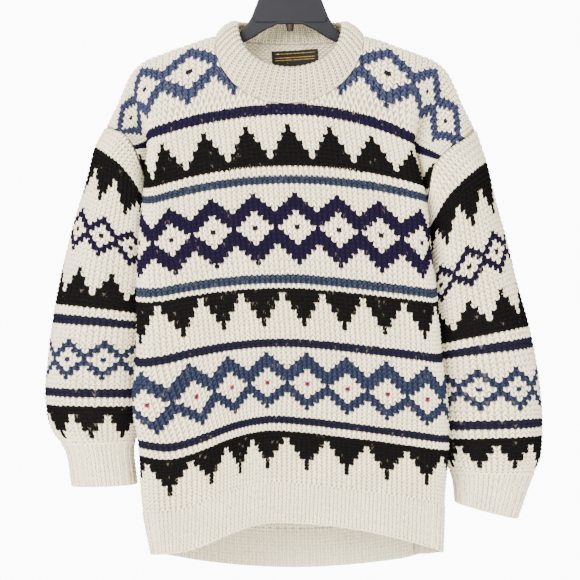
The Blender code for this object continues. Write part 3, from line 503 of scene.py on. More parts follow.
class Collar(Surface):
    """The ribbed collar; u counts ribs round the neck from the viewer's right, over the front."""

    closed = True
    TURNS = (0, 16, 32, 48, 64, 77, 86.3, 90)
    PARTS = ((0.0, 0.0), (0.08, 0.05), (0.2, 0.45), (0.55, 1.0), (0.93, 0.4), (1.0, -0.2))

    def __init__(self, front: Panel, back: Panel) -> None:
        """Lay the collar out on the two panels' neckline."""
        self.name = "collar"
        base, facing = self.neck_loop(front, back)
        steps = np.arange(len(base) + 1)
        looped = [np.vstack((grid, grid[:1])) for grid in (base, facing)]
        spans = np.concatenate(([0.0], np.cumsum(np.linalg.norm(np.diff(looped[0], axis=0), axis=1))))
        across = np.arange(0, COLLAR_RIBS + 0.001, 0.125)
        place = np.interp(across / COLLAR_RIBS * spans[-1], spans, steps)
        low, face = (np.column_stack([np.interp(place, steps, grid[:, i]) for i in range(3)])
                     for grid in looped)
        angle = np.interp(place, steps, self.neck_angles())
        top = self.upper_edge(angle)
        rise = unit(top - low)
        course = np.vstack((top[-2:-1], top, top[1:2]))
        out = unit(np.cross(unit(course[2:] - course[:-2]), rise))
        out *= np.sign(np.einsum("ij,ij->i", out, face))[:, None]
        parts = np.array(self.PARTS)
        along = np.arange(0, COLLAR_ROWS + 0.001, 0.25)
        share = along / COLLAR_ROWS
        bulge = (spline_weights(parts[:, 0], share) @ parts[:, 1]) * COLLAR_BULGE
        points = (low[None] + (top - low)[None] * share[:, None, None]
                  + out[None] * bulge[:, None, None])
        looped_net = np.concatenate((points[:, -2:-1], points, points[:, 1:2]), axis=1)
        facings = unit(np.cross(looped_net[:, 2:] - looped_net[:, :-2], np.gradient(points, axis=0)))
        facings *= np.sign(np.einsum("vuk,uk->vu", facings, out))[..., None]
        self.build_net(across, along, points, facings)

    def neck_loop(self, front: Panel, back: Panel) -> tuple[Points, Points]:
        """Outer points and facings of the neckline, once round, front half first."""
        turns = [-turn for turn in self.TURNS[:0:-1]] + list(self.TURNS)
        stitches = [NECK * math.sin(math.radians(turn)) for turn in turns]
        loop = [self.neck_edge(front, s) for s in stitches[::-1]]
        loop += [self.neck_edge(back, s) for s in stitches[1:-1]]
        return np.array([p for p, _ in loop]), np.array([n for _, n in loop])

    def neck_edge(self, panel: Panel, stitch: float) -> tuple[Points, Points]:
        """Outer point and facing on a panel's neckline."""
        spot = np.array([float(stitch)])
        row = panel.top(spot)
        point = panel.at(spot, row, np.zeros(1))[0]
        out, up = shoulder_facing(NECK)
        lean = ((row[0] - SHOULDER + panel.neck_drop) / panel.neck_drop) ** 2
        sign = -1.0 if stitch < 0 else 1.0
        face = np.array((sign * out * lean, panel.facing * (1 - lean), 0.1 + (up - 0.1) * lean))
        if abs(stitch) >= NECK - 0.001:
            point = np.array((sign * NECK_HALF, 0.0, SHOULDER_LINE[0][1]))
        return point, unit(face)

    def neck_angles(self) -> Points:
        """Angles of the neckline's points round the neck, from the right over the front."""
        quarter = [90.0 - turn for turn in self.TURNS[::-1]]
        half = quarter + [180.0 - turn for turn in quarter[-2::-1]]
        return np.radians(half + [180.0 + turn for turn in half[1:]])

    @staticmethod
    def upper_edge(angle: Points) -> Points:
        """Outer points of the upper edge."""
        in_front = np.sin(angle) >= 0
        lift = np.abs(np.sin(angle))
        drop = np.where(in_front, COLLAR_FRONT_DROP * lift**0.85, COLLAR_BACK_DROP * lift)
        depth = np.where(in_front, -COLLAR_FRONT_DEPTH, COLLAR_BACK_DEPTH) * lift**0.5
        return np.column_stack((COLLAR_HALF * np.cos(angle), depth, COLLAR_SIDE_HEIGHT - drop))

    def limit(self, u: Points, v: Points) -> tuple[Points, Points]:
        """Places wrapped round the neck."""
        return np.mod(u, COLLAR_RIBS), np.clip(v, self.along[0], self.along[-1])


def write_mesh(name: str, source: bmesh.types.BMesh | bpy.types.Mesh, points: Points) -> bpy.types.Object:
    """Make an object whose vertices are at the given points.

    Args:
        name: The piece's name.
        source: Mesh or bmesh with as many vertices as there are points.
        points: Places in millimetres.

    Returns:
        The object, linked, at the origin.
    """
    if isinstance(source, bmesh.types.BMesh):
        mesh = bpy.data.meshes.new(name)
        source.to_mesh(mesh)
        source.free()
    else:
        mesh = source
        mesh.name = name
    mesh.vertices.foreach_set("co", (points * MM).astype(np.float32).ravel())
    mesh.update()
    mesh.shade_smooth()
    made = bpy.data.objects.new(name, mesh)
    bpy.context.collection.objects.link(made)
    return made


def flat_slab(lines_u: Points, lines_v: Points, thickness: float, ring: bool) -> bmesh.types.BMesh:
    """A flat wall in stitches, rows and millimetres, its outer skin at lift 0.

    Args:
        lines_u: Places of the grid's lines across.
        lines_v: Places of its lines along.
        thickness: Of the wall.
        ring: Whether the two ends across are one seam, left open to be joined.

    Returns:
        The wall, closed but for the ends of a ring.
    """
    bm = bmesh.new()
    columns, rows = len(lines_u) - 1, len(lines_v) - 1
    bmesh.ops.create_grid(bm, x_segments=columns, y_segments=rows, size=0.5)
    for vert in bm.verts:
        vert.co.x = lines_u[round((vert.co.x + 0.5) * columns)]
        vert.co.y = lines_v[round((vert.co.y + 0.5) * rows)]
    made = bmesh.ops.extrude_face_region(bm, geom=bm.faces[:], use_keep_orig=True)
    fresh = [v for v in made["geom"] if isinstance(v, bmesh.types.BMVert)]
    bmesh.ops.translate(bm, vec=(0, 0, -thickness), verts=fresh)
    bmesh.ops.recalc_face_normals(bm, faces=bm.faces)
    if ring:
        ends = [f for f in bm.faces if abs(f.normal.x) > 0.9]
        bmesh.ops.delete(bm, geom=ends, context="FACES")
    return bm


def cloth_wall(name: str, surface: Surface, lines_u: Points, lines_v: Points,
               relief: Callable[[Points, Points], Points], sink: float, thickness: float,
               reach: Callable[[Points, Points], Points] | None = None,
               ribbed_inside: bool = False) -> bpy.types.Object:
    """A closed wall of cloth on a surface.

    Args:
        name: The piece's name.
        surface: What it lies on.
        lines_u: Places of its columns.
        lines_v: Places of its rows.
        relief: Lift of the outer skin by place across and along.
        sink: Millimetres from the surface down to the outer skin.
        thickness: Of the wall.
        reach: Rows by place across and by the row's own line, where the edges aren't straight.
        ribbed_inside: Whether the inner skin has the relief too.

    Returns:
        The piece.
    """
    bm = flat_slab(lines_u, lines_v, thickness, surface.closed)
    flat = np.array([v.co for v in bm.verts])
    u, v, z = flat[:, 0], flat[:, 1], flat[:, 2]
    if reach:
        v = reach(u, v)
    raised = (z > -0.5 * thickness) | ribbed_inside
    made = write_mesh(name, bm, surface.at(u, v, z - sink + np.where(raised, relief(u, v), 0.0)))
    if surface.closed:
        bm = bmesh.new()
        bm.from_mesh(made.data)
        bmesh.ops.remove_doubles(bm, verts=bm.verts, dist=1e-5)
        bmesh.ops.recalc_face_normals(bm, faces=bm.faces)
        bm.to_mesh(made.data)
        bm.free()
        made.data.shade_smooth()
    elif surface.mirrored:
        made.data.flip_normals()
    return made


class Yarn(Enum):
    """The yarns, by name."""

    CREAM = "cream"
    BLACK = "black"
    PURPLE = "purple"
    INDIGO = "indigo"
    NAVY = "navy"
    TEAL = "teal"
    BLUE = "blue"
    BRIGHT_BLUE = "bright_blue"
    ROSE = "rose"
    DARK = "dark"


class Motif(Enum):
    """What a band of colourwork shows."""

    PLAIN = "plain"
    TEETH_UP = "teeth_up"          # triangles on a full base, tips up
    TEETH_DOWN = "teeth_down"
    DIAMOND = "diamond"


# Body diamonds, eight stitches wide: ground (.), outline (#) and heart (o)
DIAMOND_TOP = ("....#...", "...###..", "..#####.", ".#######", "####.###", "###...##", "##.....#",
               "#...o...", "##.....#", "###...##")
PURPLE_DIAMOND = DIAMOND_TOP + ("####.###", ".#######", "..#####.", "...###..", "....#...")
BLUE_DIAMOND = DIAMOND_TOP + (".###.###", "..#####.", "...###..", "....#...")
SHOULDER_DIAMOND = ("....#...", "...###..", "..#####.", ".###.###", "###...##", "##.....#",
                    "#...o...", "##.....#", "###...##", ".###.###", "..#####.", "...###..", "....#...")
# Sleeve diamond, six stitches wide
SLEEVE_DIAMOND = ("...#..", "..###.", ".##.##", "##...#", "#..o..", "##...#", ".##.##", "..###.",
                  "...#..")


@dataclass(frozen=True)
class Band:
    """Rows of one motif."""

    low: int
    high: int
    motif: Motif
    yarn: Yarn
    heart: Yarn = Yarn.CREAM
    full: int = 0               # rows of a tooth's base
    shift: int = 0              # stitches that the motifs are moved across
    diamond: tuple[str, ...] = ()


BODY_BANDS = (
    Band(4, 15, Motif.TEETH_DOWN, Yarn.BLACK, full=2),
    Band(17, 19, Motif.PLAIN, Yarn.NAVY),
    Band(21, 35, Motif.DIAMOND, Yarn.BLUE, Yarn.ROSE, diamond=BLUE_DIAMOND),
    Band(36, 38, Motif.PLAIN, Yarn.NAVY),
    Band(41, 50, Motif.TEETH_DOWN, Yarn.BLACK, full=1),
    Band(51, 53, Motif.PLAIN, Yarn.TEAL),
    Band(55, 70, Motif.DIAMOND, Yarn.PURPLE, Yarn.DARK, diamond=PURPLE_DIAMOND),
    Band(72, 74, Motif.PLAIN, Yarn.TEAL),
    Band(76, 86, Motif.TEETH_UP, Yarn.BLACK, full=2),
    Band(88, 90, Motif.PLAIN, Yarn.INDIGO),
    Band(92, 105, Motif.DIAMOND, Yarn.BRIGHT_BLUE, Yarn.DARK, shift=4,
         diamond=SHOULDER_DIAMOND),
)


def sleeve_bands(teeth: int, blue: int, middle: int, purple: int, top: int) -> tuple[Band, ...]:
    """Bands of a sleeve; each sleeve was started at another stitch, so its motifs stand aside.

    Args:
        teeth: Stitches that the lowest teeth are moved.
        blue: The same for the blue diamonds.
        middle: The same for the middle teeth.
        purple: The same for the purple diamonds.
        top: The same for the highest teeth.

    Returns:
        The bands, from the cuff up.
    """
    return (
        Band(2, 10, Motif.TEETH_DOWN, Yarn.BLACK, full=2, shift=teeth),
        Band(12, 14, Motif.PLAIN, Yarn.NAVY),
        Band(16, 25, Motif.DIAMOND, Yarn.BLUE, Yarn.BLUE, shift=blue,
             diamond=SLEEVE_DIAMOND),
        Band(28, 30, Motif.PLAIN, Yarn.NAVY),
        Band(32, 41, Motif.TEETH_UP, Yarn.BLACK, full=3, shift=middle),
        Band(44, 53, Motif.DIAMOND, Yarn.PURPLE, Yarn.DARK, shift=purple,
             diamond=SLEEVE_DIAMOND),
        Band(56, 66, Motif.TEETH_DOWN, Yarn.BLACK, full=4, shift=top),
    )


@dataclass(frozen=True)
class Chart:
    """Colourwork of a piece: its bands and the width of a repeat in stitches."""

    bands: tuple[Band, ...]
    repeat: int

    def yarn(self, column: int, row: int) -> Yarn:
        """The yarn of one stitch; column 0 is the middle of a motif."""
        for band in self.bands:
            if band.low <= row < band.high:
                return self.read(band, column - band.shift, row - band.low, band.high - row - 1)
        return Yarn.CREAM

    def read(self, band: Band, column: int, up: int, down: int) -> Yarn:
        """The yarn at a column, and at a row counted from the band's two edges."""
        if band.motif is Motif.PLAIN:
            return band.yarn
        half = self.repeat // 2
        if band.motif is Motif.DIAMOND:
            mark = band.diamond[down][(column + half) % self.repeat]
            return {".": Yarn.CREAM, "#": band.yarn, "o": band.heart}[mark]
        base = up if band.motif is Motif.TEETH_UP else down
        if base < band.full:
            return band.yarn
        gap = min((base - band.full) // 2, half - 1)
        aside = abs((column + self.repeat) % self.repeat - half)
        return Yarn.CREAM if aside <= gap else band.yarn


BODY_CHART = Chart(BODY_BANDS, 8)
SLEEVE_CHARTS = {"left": Chart(sleeve_bands(5, 1, 1, 4, 2), 6),
                 "right": Chart(sleeve_bands(2, 1, 1, 0, 4), 6)}


def drift(panel: str, column: Points, row: Points) -> Points:
    """Stitches that the front's columns stand aside: the fold low on its left draws them together,
    and the shoulders' weight draws them in beside the neck."""
    if panel != "front":
        return 0.0 * column
    fold = FOLD_DRIFT * eased(-column, *FOLD_COLUMNS) * (1 - eased(row, *FOLD_FADE))
    near = 1 - eased(abs(column), *NECK_COLUMNS)
    return fold - NECK_DRIFT * np.sign(column) * near * eased(row, *NECK_RISE)


def face_middles(lines_u: Points, lines_v: Points, thickness: float, ring: bool) -> Points:
    """Middle of each face of a flat wall, in stitches, rows and millimetres."""
    flat = flat_slab(lines_u, lines_v, thickness, ring)
    middles = np.array([face.calc_center_median() for face in flat.faces])
    flat.free()
    return middles


def linear(hex_colour: str) -> tuple[float, float, float, float]:
    """Linear colour of an sRGB hex value."""
    values = [int(hex_colour[i:i + 2], 16) / 255 for i in (1, 3, 5)]
    return (*[v / 12.92 if v <= 0.04045 else ((v + 0.055) / 1.055) ** 2.4 for v in values], 1.0)


def add_node(tree: bpy.types.NodeTree, kind: str, inputs: dict | None = None,
             **settings: object) -> bpy.types.Node:
    """Add a node.

    Args:
        tree: Where.
        kind: The node's type.
        inputs: A value, or another node's output, for each input by name or number.
        settings: Its own settings.

    Returns:
        The node.
    """
    node = tree.nodes.new(kind)
    for key, value in settings.items():
        setattr(node, key, value)
    for key, value in (inputs or {}).items():
        if isinstance(value, bpy.types.NodeSocket):
            tree.links.new(value, node.inputs[key])
        else:
            node.inputs[key].default_value = value
    return node


def new_material(name: str) -> tuple[bpy.types.Material, bpy.types.NodeTree, bpy.types.Node]:
    """A material with its node tree and its shader."""
    material = bpy.data.materials.new(name)
    material.use_nodes = True
    tree = material.node_tree
    return material, tree, tree.nodes["Principled BSDF"]


@dataclass(frozen=True)
class WoolFinish:
    """Woollen yarn, spun soft and brushed by wear: no gloss, a pale bloom of fibre ends at grazing
    angles, and single fibres of other shades in the ply, which give it its heather."""

    name: str
    base: str
    fleck: str
    fleck_share: float = 0.35       # how much of the ply is in the second shade
    fleck_mm: float = 2.2           # length of a patch of one shade along the ply
    fibre_mm: float = 0.9           # real fibres are 0.03 mm; drawn coarse enough to show
    sheen: float = 0.35

    def material(self) -> bpy.types.Material:
        """Build the material."""
        made, tree, shader = new_material(self.name)
        spot = add_node(tree, "ShaderNodeTexCoord").outputs["Object"]
        patch = add_node(tree, "ShaderNodeTexNoise", {"Vector": spot, "Scale": 1000 / self.fleck_mm,
                                                      "Detail": 3.0, "Roughness": 0.7})
        edge = 0.5 + 0.32 * (0.5 - self.fleck_share)
        share = add_node(tree, "ShaderNodeMapRange", {"Value": patch.outputs["Fac"],
                                                      "From Min": edge - 0.05,
                                                      "From Max": edge + 0.22})
        tint = add_node(tree, "ShaderNodeMix", {0: share.outputs["Result"],
                                                6: linear(self.base), 7: linear(self.fleck)},
                        data_type="RGBA")
        wide = add_node(tree, "ShaderNodeTexNoise", {"Vector": spot, "Scale": 1000 / 45.0,
                                                     "Detail": 1.0})
        tone = add_node(tree, "ShaderNodeMapRange", {"Value": wide.outputs["Fac"],
                                                     "From Min": 0.3, "From Max": 0.7,
                                                     "To Min": 0.93, "To Max": 1.04})
        colour = add_node(tree, "ShaderNodeHueSaturation", {"Color": tint.outputs[2],
                                                            "Value": tone.outputs["Result"]})
        tree.links.new(colour.outputs["Color"], shader.inputs["Base Color"])
        fibre = add_node(tree, "ShaderNodeTexNoise", {"Vector": spot, "Scale": 1000 / self.fibre_mm,
                                                      "Detail": 4.0, "Roughness": 0.75})
        bump = add_node(tree, "ShaderNodeBump", {"Height": fibre.outputs["Fac"], "Strength": 0.7,
                                                 "Distance": 0.5 * MM})
        tree.links.new(bump.outputs["Normal"], shader.inputs["Normal"])
        shader.inputs["Roughness"].default_value = 0.95
        shader.inputs["Specular IOR Level"].default_value = 0.08
        shader.inputs["Sheen Weight"].default_value = self.sheen
        shader.inputs["Sheen Roughness"].default_value = 0.5
        shader.inputs["Sheen Tint"].default_value = linear(self.fleck)
        return made


WOOLS = {
    Yarn.CREAM: WoolFinish("wool_cream", "#F4E8C8", "#E6D6B0", 0.3),
    Yarn.BLACK: WoolFinish("wool_black", "#090706", "#181412", 0.25, sheen=0.03),
    Yarn.PURPLE: WoolFinish("wool_purple", "#120A22", "#1D1332", 0.35, sheen=0.04),
    Yarn.INDIGO: WoolFinish("wool_indigo", "#130D24", "#1E1636", 0.3, sheen=0.04),
    Yarn.NAVY: WoolFinish("wool_navy", "#141323", "#201F33", 0.3, sheen=0.04),
    Yarn.TEAL: WoolFinish("wool_teal_heather", "#212837", "#41475A", 0.4, sheen=0.05),
    Yarn.BLUE: WoolFinish("wool_blue_heather", "#20263A", "#393F55", 0.4, sheen=0.05),
    Yarn.BRIGHT_BLUE: WoolFinish("wool_bright_blue", "#2B3048", "#4B5068", 0.4, sheen=0.05),
    Yarn.ROSE: WoolFinish("wool_rose", "#78203C", "#A83C5C", 0.3, sheen=0.08),
    Yarn.DARK: WoolFinish("wool_dark_heart", "#1C161A", "#2E262C", 0.3, sheen=0.05),
}

# Painted shade in the pits between stitches: the share of the yarn's colour left there; how often a
# float of cream shows there too and how far it pales the colour; and the colour of the inside, a
# cream darkened as painted shade
PAINTED_PIT_SHADE = np.array((0.42, 0.38, 0.33, 1.0))
FLOAT_SHARE = 0.05
FLOAT_TINT = 0.2
# Painted shade: a darkened cream for the inner skin, seen between the inner stitches
PAINTED_INSIDE_SHADE = np.array(linear("#BFB397"))


class Wardrobe:
    """The wool materials, made once each."""

    def __init__(self) -> None:
        """Start empty."""
        self.made: dict[Yarn, bpy.types.Material] = {}

    def wool(self, yarn: Yarn) -> bpy.types.Material:
        """The material of a yarn."""
        if yarn not in self.made:
            self.made[yarn] = WOOLS[yarn].material()
        return self.made[yarn]

    def ground(self) -> bpy.types.Material:
        """Wool at the bottom of the stitches, in the colour painted on the wall there, darkened as
        painted shade.
        """
        made, tree, shader = new_material("wool_between_stitches")
        spot = add_node(tree, "ShaderNodeTexCoord").outputs["Object"]
        # The yarn attribute holds each face's colour, darkened as painted shade
        shade = add_node(tree, "ShaderNodeAttribute", attribute_name="yarn")
        tree.links.new(shade.outputs["Color"], shader.inputs["Base Color"])
        fibre = add_node(tree, "ShaderNodeTexNoise", {"Vector": spot, "Scale": 1000 / 1.2,
                                                      "Detail": 3.0})
        bump = add_node(tree, "ShaderNodeBump", {"Height": fibre.outputs["Fac"], "Strength": 0.8,
                                                 "Distance": 0.6 * MM})
        tree.links.new(bump.outputs["Normal"], shader.inputs["Normal"])
        shader.inputs["Roughness"].default_value = 0.95
        shader.inputs["Specular IOR Level"].default_value = 0.2
        return made


@dataclass(frozen=True)
class Leg:
    """One leg of a stitch: a spindle of yarn that leans out from the middle of the stitch. Its
    underside, sunk in the cloth's wall, is left open."""

    start: tuple[float, float] = (0.03, -0.28)      # stitches across, rows along
    end: tuple[float, float] = (0.53, 1.05)
    width: float = 0.47         # in stitches
    height: float = 3.1         # in millimetres, from its lower side to its crest
    sink: float = 1.9           # of its lower side below the cloth's surface
    dive: float = 1.7           # how far its two tips dive under the next stitches
    rings: int = 4

    def template(self) -> bpy.types.Mesh:
        """The two legs of a stitch, as a mesh in stitches, rows and millimetres."""
        bm = bmesh.new()
        under = []
        for sign in (-1.0, 1.0):
            made = bmesh.ops.create_uvsphere(bm, u_segments=3, v_segments=self.rings, radius=1.0)
            faces = {face for vert in made["verts"] for face in vert.link_faces}
            under += [face for face in faces if face.calc_center_median().x < -0.05]
            for vert in made["verts"]:
                side, crest, along = vert.co.y, vert.co.x, vert.co.z
                t = (along + 1) / 2
                across = self.start[0] + (self.end[0] - self.start[0]) * t ** 0.85
                row = self.start[1] + (self.end[1] - self.start[1]) * t
                fullness = 1.0 + 0.25 * along
                lift = (crest + 0.5) / 1.5 * self.height - self.sink - self.dive * abs(along) ** 3
                vert.co = (sign * (across + side * self.width * 0.577 * fullness), row, lift)
        bmesh.ops.recalc_face_normals(bm, faces=bm.faces)
        bmesh.ops.delete(bm, geom=under, context="FACES")
        mesh = bpy.data.meshes.new("stitch")
        bm.to_mesh(mesh)
        bm.free()
        return mesh


def purl_bump(across: float, along: float, height: float) -> bpy.types.Mesh:
    """A short bead of yarn that lies across the cloth, in stitches, rows and millimetres."""
    bm = bmesh.new()
    bmesh.ops.create_uvsphere(bm, u_segments=4, v_segments=4, radius=1.0)
    for vert in bm.verts:
        vert.co = (vert.co.z * across / 2, 0.5 + vert.co.y * along / 2, vert.co.x * height / 2)
    bmesh.ops.recalc_face_normals(bm, faces=bm.faces)
    mesh = bpy.data.meshes.new("bump")
    bm.to_mesh(mesh)
    bm.free()
    return mesh


def tile(template: bpy.types.Mesh, count: int) -> tuple[bpy.types.Mesh, Points]:
    """A joined mesh of many copies of a template, all in its place.

    Args:
        template: The mesh that is repeated.
        count: How often.

    Returns:
        The mesh, and its vertices as copies by vertices by three.
    """
    holder = bpy.data.objects.new("tile", template)
    bpy.context.collection.objects.link(holder)
    array = holder.modifiers.new("tile", "ARRAY")
    array.count = count
    array.use_relative_offset = False
    array.use_constant_offset = True
    array.constant_offset_displace = (0, 0, 0)
    mesh = bpy.data.meshes.new_from_object(
        holder.evaluated_get(bpy.context.evaluated_depsgraph_get()))
    bpy.data.objects.remove(holder)
    flat = np.empty(len(mesh.vertices) * 3, np.float32)
    mesh.vertices.foreach_get("co", flat)
    return mesh, flat.reshape(count, -1, 3).astype(float)


def knit(name: str, surface: Surface, cells: Points, template: bpy.types.Mesh,
         rng: np.random.Generator, width: float = 1.0, lift: float = 0.0,
         inside: bool = False) -> bpy.types.Object:
    """Stitches on a surface as one joined piece.

    Args:
        name: The piece's name.
        surface: What they lie on.
        cells: Middle across, lower edge along and share of the full width of each stitch.
        template: One stitch.
        rng: Random numbers for the unevenness of hand knitting.
        width: Width of a stitch in units across.
        lift: Millimetres that they stand over the surface.
        inside: Whether they face into the garment.

    Returns:
        The piece.
    """
    mesh, local = tile(template, len(cells))
    count = len(cells)
    jitter = rng.normal(0, (0.03, 0.05), (count, 1, 2))
    swell = rng.normal(1.0, 0.08, (count, 1))
    u = cells[:, :1] + (local[..., 0] * swell + jitter[..., 0]) * width * cells[:, 2:3]
    v = cells[:, 1:2] + local[..., 1] + jitter[..., 1]
    height = local[..., 2] * swell + lift
    if inside:
        height = -WALL - height
    if inside != surface.mirrored:
        mesh.flip_normals()
    points = surface.at(u.ravel(), v.ravel(), height.ravel())
    return write_mesh(name, mesh, points)


@dataclass(frozen=True)
class Rib:
    """A ribbed piece."""

    node: str
    surface: Surface
    lines_u: Points             # columns and rows of its wall
    lines_v: Points
    peaks: Points               # places of the crests and the furrows across
    furrows: Points
    pitch: float                # from one crest to the next
    low: float                  # rows of its two edges
    high: float
    purl: bpy.types.Mesh        # one stitch of the furrows
    purl_lift: float            # how far it stands over the surface
    fade: float = 0.0           # rows past the edges where the relief dies away
    inside: bool = False        # whether the inner side, the reverse of the outer, shows too

    def relief(self, u: Points, v: Points) -> Points:
        """Lift of the wall's skins, dying away at the two edges."""
        reach = (np.clip((v - self.low + self.fade) / 0.6, 0.25, 1)
                 * np.clip((self.high + self.fade - v) / 0.8, 0.0, 1))
        return -RIB_RELIEF * np.cos(math.pi * (u / (self.pitch / 2))) * reach


@dataclass
class Pullover:
    """The knitted pieces: a thin wall of cloth for each, and the stitches that stand on it."""

    wardrobe: Wardrobe
    front: Panel = field(default_factory=lambda: Panel("front", FRONT_ROWS, -1.0, 17.0, 0.35))
    back: Panel = field(default_factory=lambda: Panel("back", BACK_ROWS, 1.0, 2.5, 0.5))
    sink: float = 1.9           # from the cloth's outside down to the valleys of the stitches
    wall: float = 2.9           # thickness of the wall below the stitches
    rng: np.random.Generator = field(default_factory=lambda: np.random.default_rng(SEED))

    def __post_init__(self) -> None:
        """Lay out the other surfaces and the material of the ground."""
        self.sleeves = {side: Sleeve(side) for side in ("left", "right")}
        self.collar = Collar(self.front, self.back)
        self.ground = self.wardrobe.ground()
        self.leg = Leg().template()
        self.plain_leg = Leg(rings=3).template()
        self.rib_leg = Leg(start=(0.05, -0.3), end=(0.42, 1.0), width=0.42, dive=1.2).template()

    def paint(self, wall: bpy.types.Object, yarns: Callable[[Points], list[Yarn]],
              centres: Points) -> None:
        """Colour a wall in painted shade: each face its stitch's colour darkened, inner faces dark cream.

        Args:
            wall: The wall.
            yarns: Gives the yarn for each face's place.
            centres: Each face's middle, in stitches, rows and millimetres.
        """
        mesh = wall.data
        layer = mesh.color_attributes.new("yarn", "FLOAT_COLOR", "CORNER")
        # Painted shade: each yarn's colour is darkened for the pits between the stitches
        painted_pit_shades = {yarn: np.array(linear(WOOLS[yarn].base)) * PAINTED_PIT_SHADE for yarn in Yarn}
        colours = np.empty((len(mesh.loops), 4))
        floats = self.rng.random(len(mesh.polygons)) < FLOAT_SHARE
        for face, yarn, centre, bare in zip(mesh.polygons, yarns(centres[:, :2]), centres, floats):
            shade = painted_pit_shades[yarn]
            if bare:
                shade = shade + (painted_pit_shades[Yarn.CREAM] - shade) * FLOAT_TINT
            # Painted shade: faces of the inner skin get the darkened cream
            if centre[2] <= -0.1 * self.wall:
                shade = PAINTED_INSIDE_SHADE
            colours[face.loop_start:face.loop_start + face.loop_total] = shade
        layer.data.foreach_set("color", colours.astype(np.float32).ravel())
        mesh.materials.append(self.ground)

    def finish_piece(self, piece: bpy.types.Object, slot: str, *nodes: str) -> bpy.types.Object:
        """Put a piece on the body and hide the nodes that it stands for."""
        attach(piece, BODY)
        if nodes:
            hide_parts(*nodes)
        return piece

    def dress(self, name: str, surface: Surface, cells: list[tuple[float, int, float, Yarn]],
              leg: bpy.types.Mesh) -> list[bpy.types.Object]:
        """Knit the stitches of a piece, one joined object for each yarn.

        Args:
            name: The piece's name.
            surface: What it lies on.
            cells: Middle across, row, share of the full width and yarn of each stitch.
            leg: One stitch.

        Returns:
            The objects.
        """
        made = []
        for yarn in Yarn:
            own = np.array([place for *place, shade in cells if shade is yarn], float)
            if len(own):
                piece = knit(f"{name}_stitches_{yarn.value}", surface, own, leg, self.rng)
                piece.data.materials.append(self.wardrobe.wool(yarn))
                made.append(self.finish_piece(piece, "wool"))
        return made

    def build_panel(self, panel: Panel, leg: bpy.types.Mesh) -> None:
        """Front or back above its hem rib."""
        step = 0.5 if panel is self.front else 1.0
        neck_lines = [NECK - 0.3, NECK - 0.12, NECK - 0.03]
        stitches = list(np.arange(0.5, SIDE, step)) + [SIDE] + neck_lines
        lines_u = np.array(sorted([-s for s in stitches] + stitches))
        lines_v = np.arange(0.0, SHOULDER + 0.01, 1.0)

        def rows(u: Points, line: Points) -> Points:
            share = np.clip((line - UNDERARM) / (SHOULDER - UNDERARM), 0, 1)
            return line - (SHOULDER - panel.top(u)) * share**2

        wall = cloth_wall(panel.name + "_cloth", panel, lines_u, lines_v,
                          lambda u, v: 0 * u, self.sink, self.wall, rows)
        centres = face_middles(lines_u, lines_v, self.wall, False)
        centres[:, 1] = rows(centres[:, 0], centres[:, 1])
        place = centres[:, 0].copy()
        for _ in range(4):
            centres[:, 0] = place - drift(panel.name, centres[:, 0], centres[:, 1])
        self.paint(wall, lambda spots: [BODY_CHART.yarn(round(u), int(v)) for u, v in spots], centres)
        self.finish_piece(wall, "wool", panel.name)
        cells = []
        columns = np.arange(-SIDE - FOLD_DRIFT, SIDE)
        for row in range(int(SHOULDER)):
            places = columns + drift(panel.name, columns, float(row))
            widths = np.gradient(places)
            tops = panel.top(places)
            for column, place, width, top in zip(columns, places, widths, tops):
                # A stitch stays clear of the side seam and of the neckline
                if place > 0.4 - SIDE and row + 0.4 < top:
                    cells.append((place, row, width, BODY_CHART.yarn(int(column), row)))
        pieces = self.dress(panel.name, panel, cells, leg)
        if panel is self.back:
            pieces.append(self.purl_side(panel))
        log.info("%s: %d stitches", panel.name, len(cells))

    def purl_side(self, panel: Panel) -> bpy.types.Object:
        """The reverse of the stitches that shows inside the neck opening, on the back."""
        cells = []
        for row in np.arange(*NECK_INSIDE, 0.5):
            for column in np.arange(-NECK - 4.0, NECK + 5.0) + (row % 1.0):
                if row + 0.8 < panel.top(np.array([column]))[0]:
                    cells.append((column, row, 1.0))
        piece = knit("back_inner_purls", panel, np.array(cells), purl_bump(0.85, 0.58, 2.3), self.rng,
                     1.0, 0.1, True)
        piece.data.materials.append(self.wardrobe.wool(Yarn.CREAM))
        return self.finish_piece(piece, "wool")

    def build_hem(self, panel: Panel) -> None:
        """Ribbed welt below a panel."""
        half = SIDE / HALF_RIBS
        lines_v = np.array([HEM_EDGE, HEM_EDGE + 0.15, HEM_EDGE + 0.5, -7.5, *WELT_ROWS])
        rib = Rib("hem_" + panel.name, panel,
                  np.arange(-HALF_RIBS * 2, HALF_RIBS * 2 + 1) * half / 2, lines_v,
                  np.arange(-HALF_RIBS + 1, HALF_RIBS, 2) * half,
                  np.arange(-HALF_RIBS, HALF_RIBS + 1, 2) * half, half * 2, HEM_EDGE, 0.0,
                  self.rib_leg, -0.6, inside=panel is self.back)
        self.build_rib(rib)

    def build_rib(self, rib: Rib) -> None:
        """A ribbed piece: its wall and its stitches.

        Args:
            rib: The piece.
        """
        wall = cloth_wall(rib.node + "_cloth", rib.surface, rib.lines_u, rib.lines_v, rib.relief,
                          self.sink * 0.6, self.wall + 0.8, ribbed_inside=True)
        # Painted shade: on closed pieces every face gets the pits' darkened colour, on the hems the inner
        # skin gets the darkened cream
        centres = np.zeros((len(wall.data.polygons), 3))
        if not rib.surface.closed:
            centres = face_middles(rib.lines_u, rib.lines_v, self.wall, False)
        self.paint(wall, lambda spots: [Yarn.CREAM] * len(spots), centres)
        self.finish_piece(wall, "wool_rib", rib.node)
        self.rib_stitches(rib)

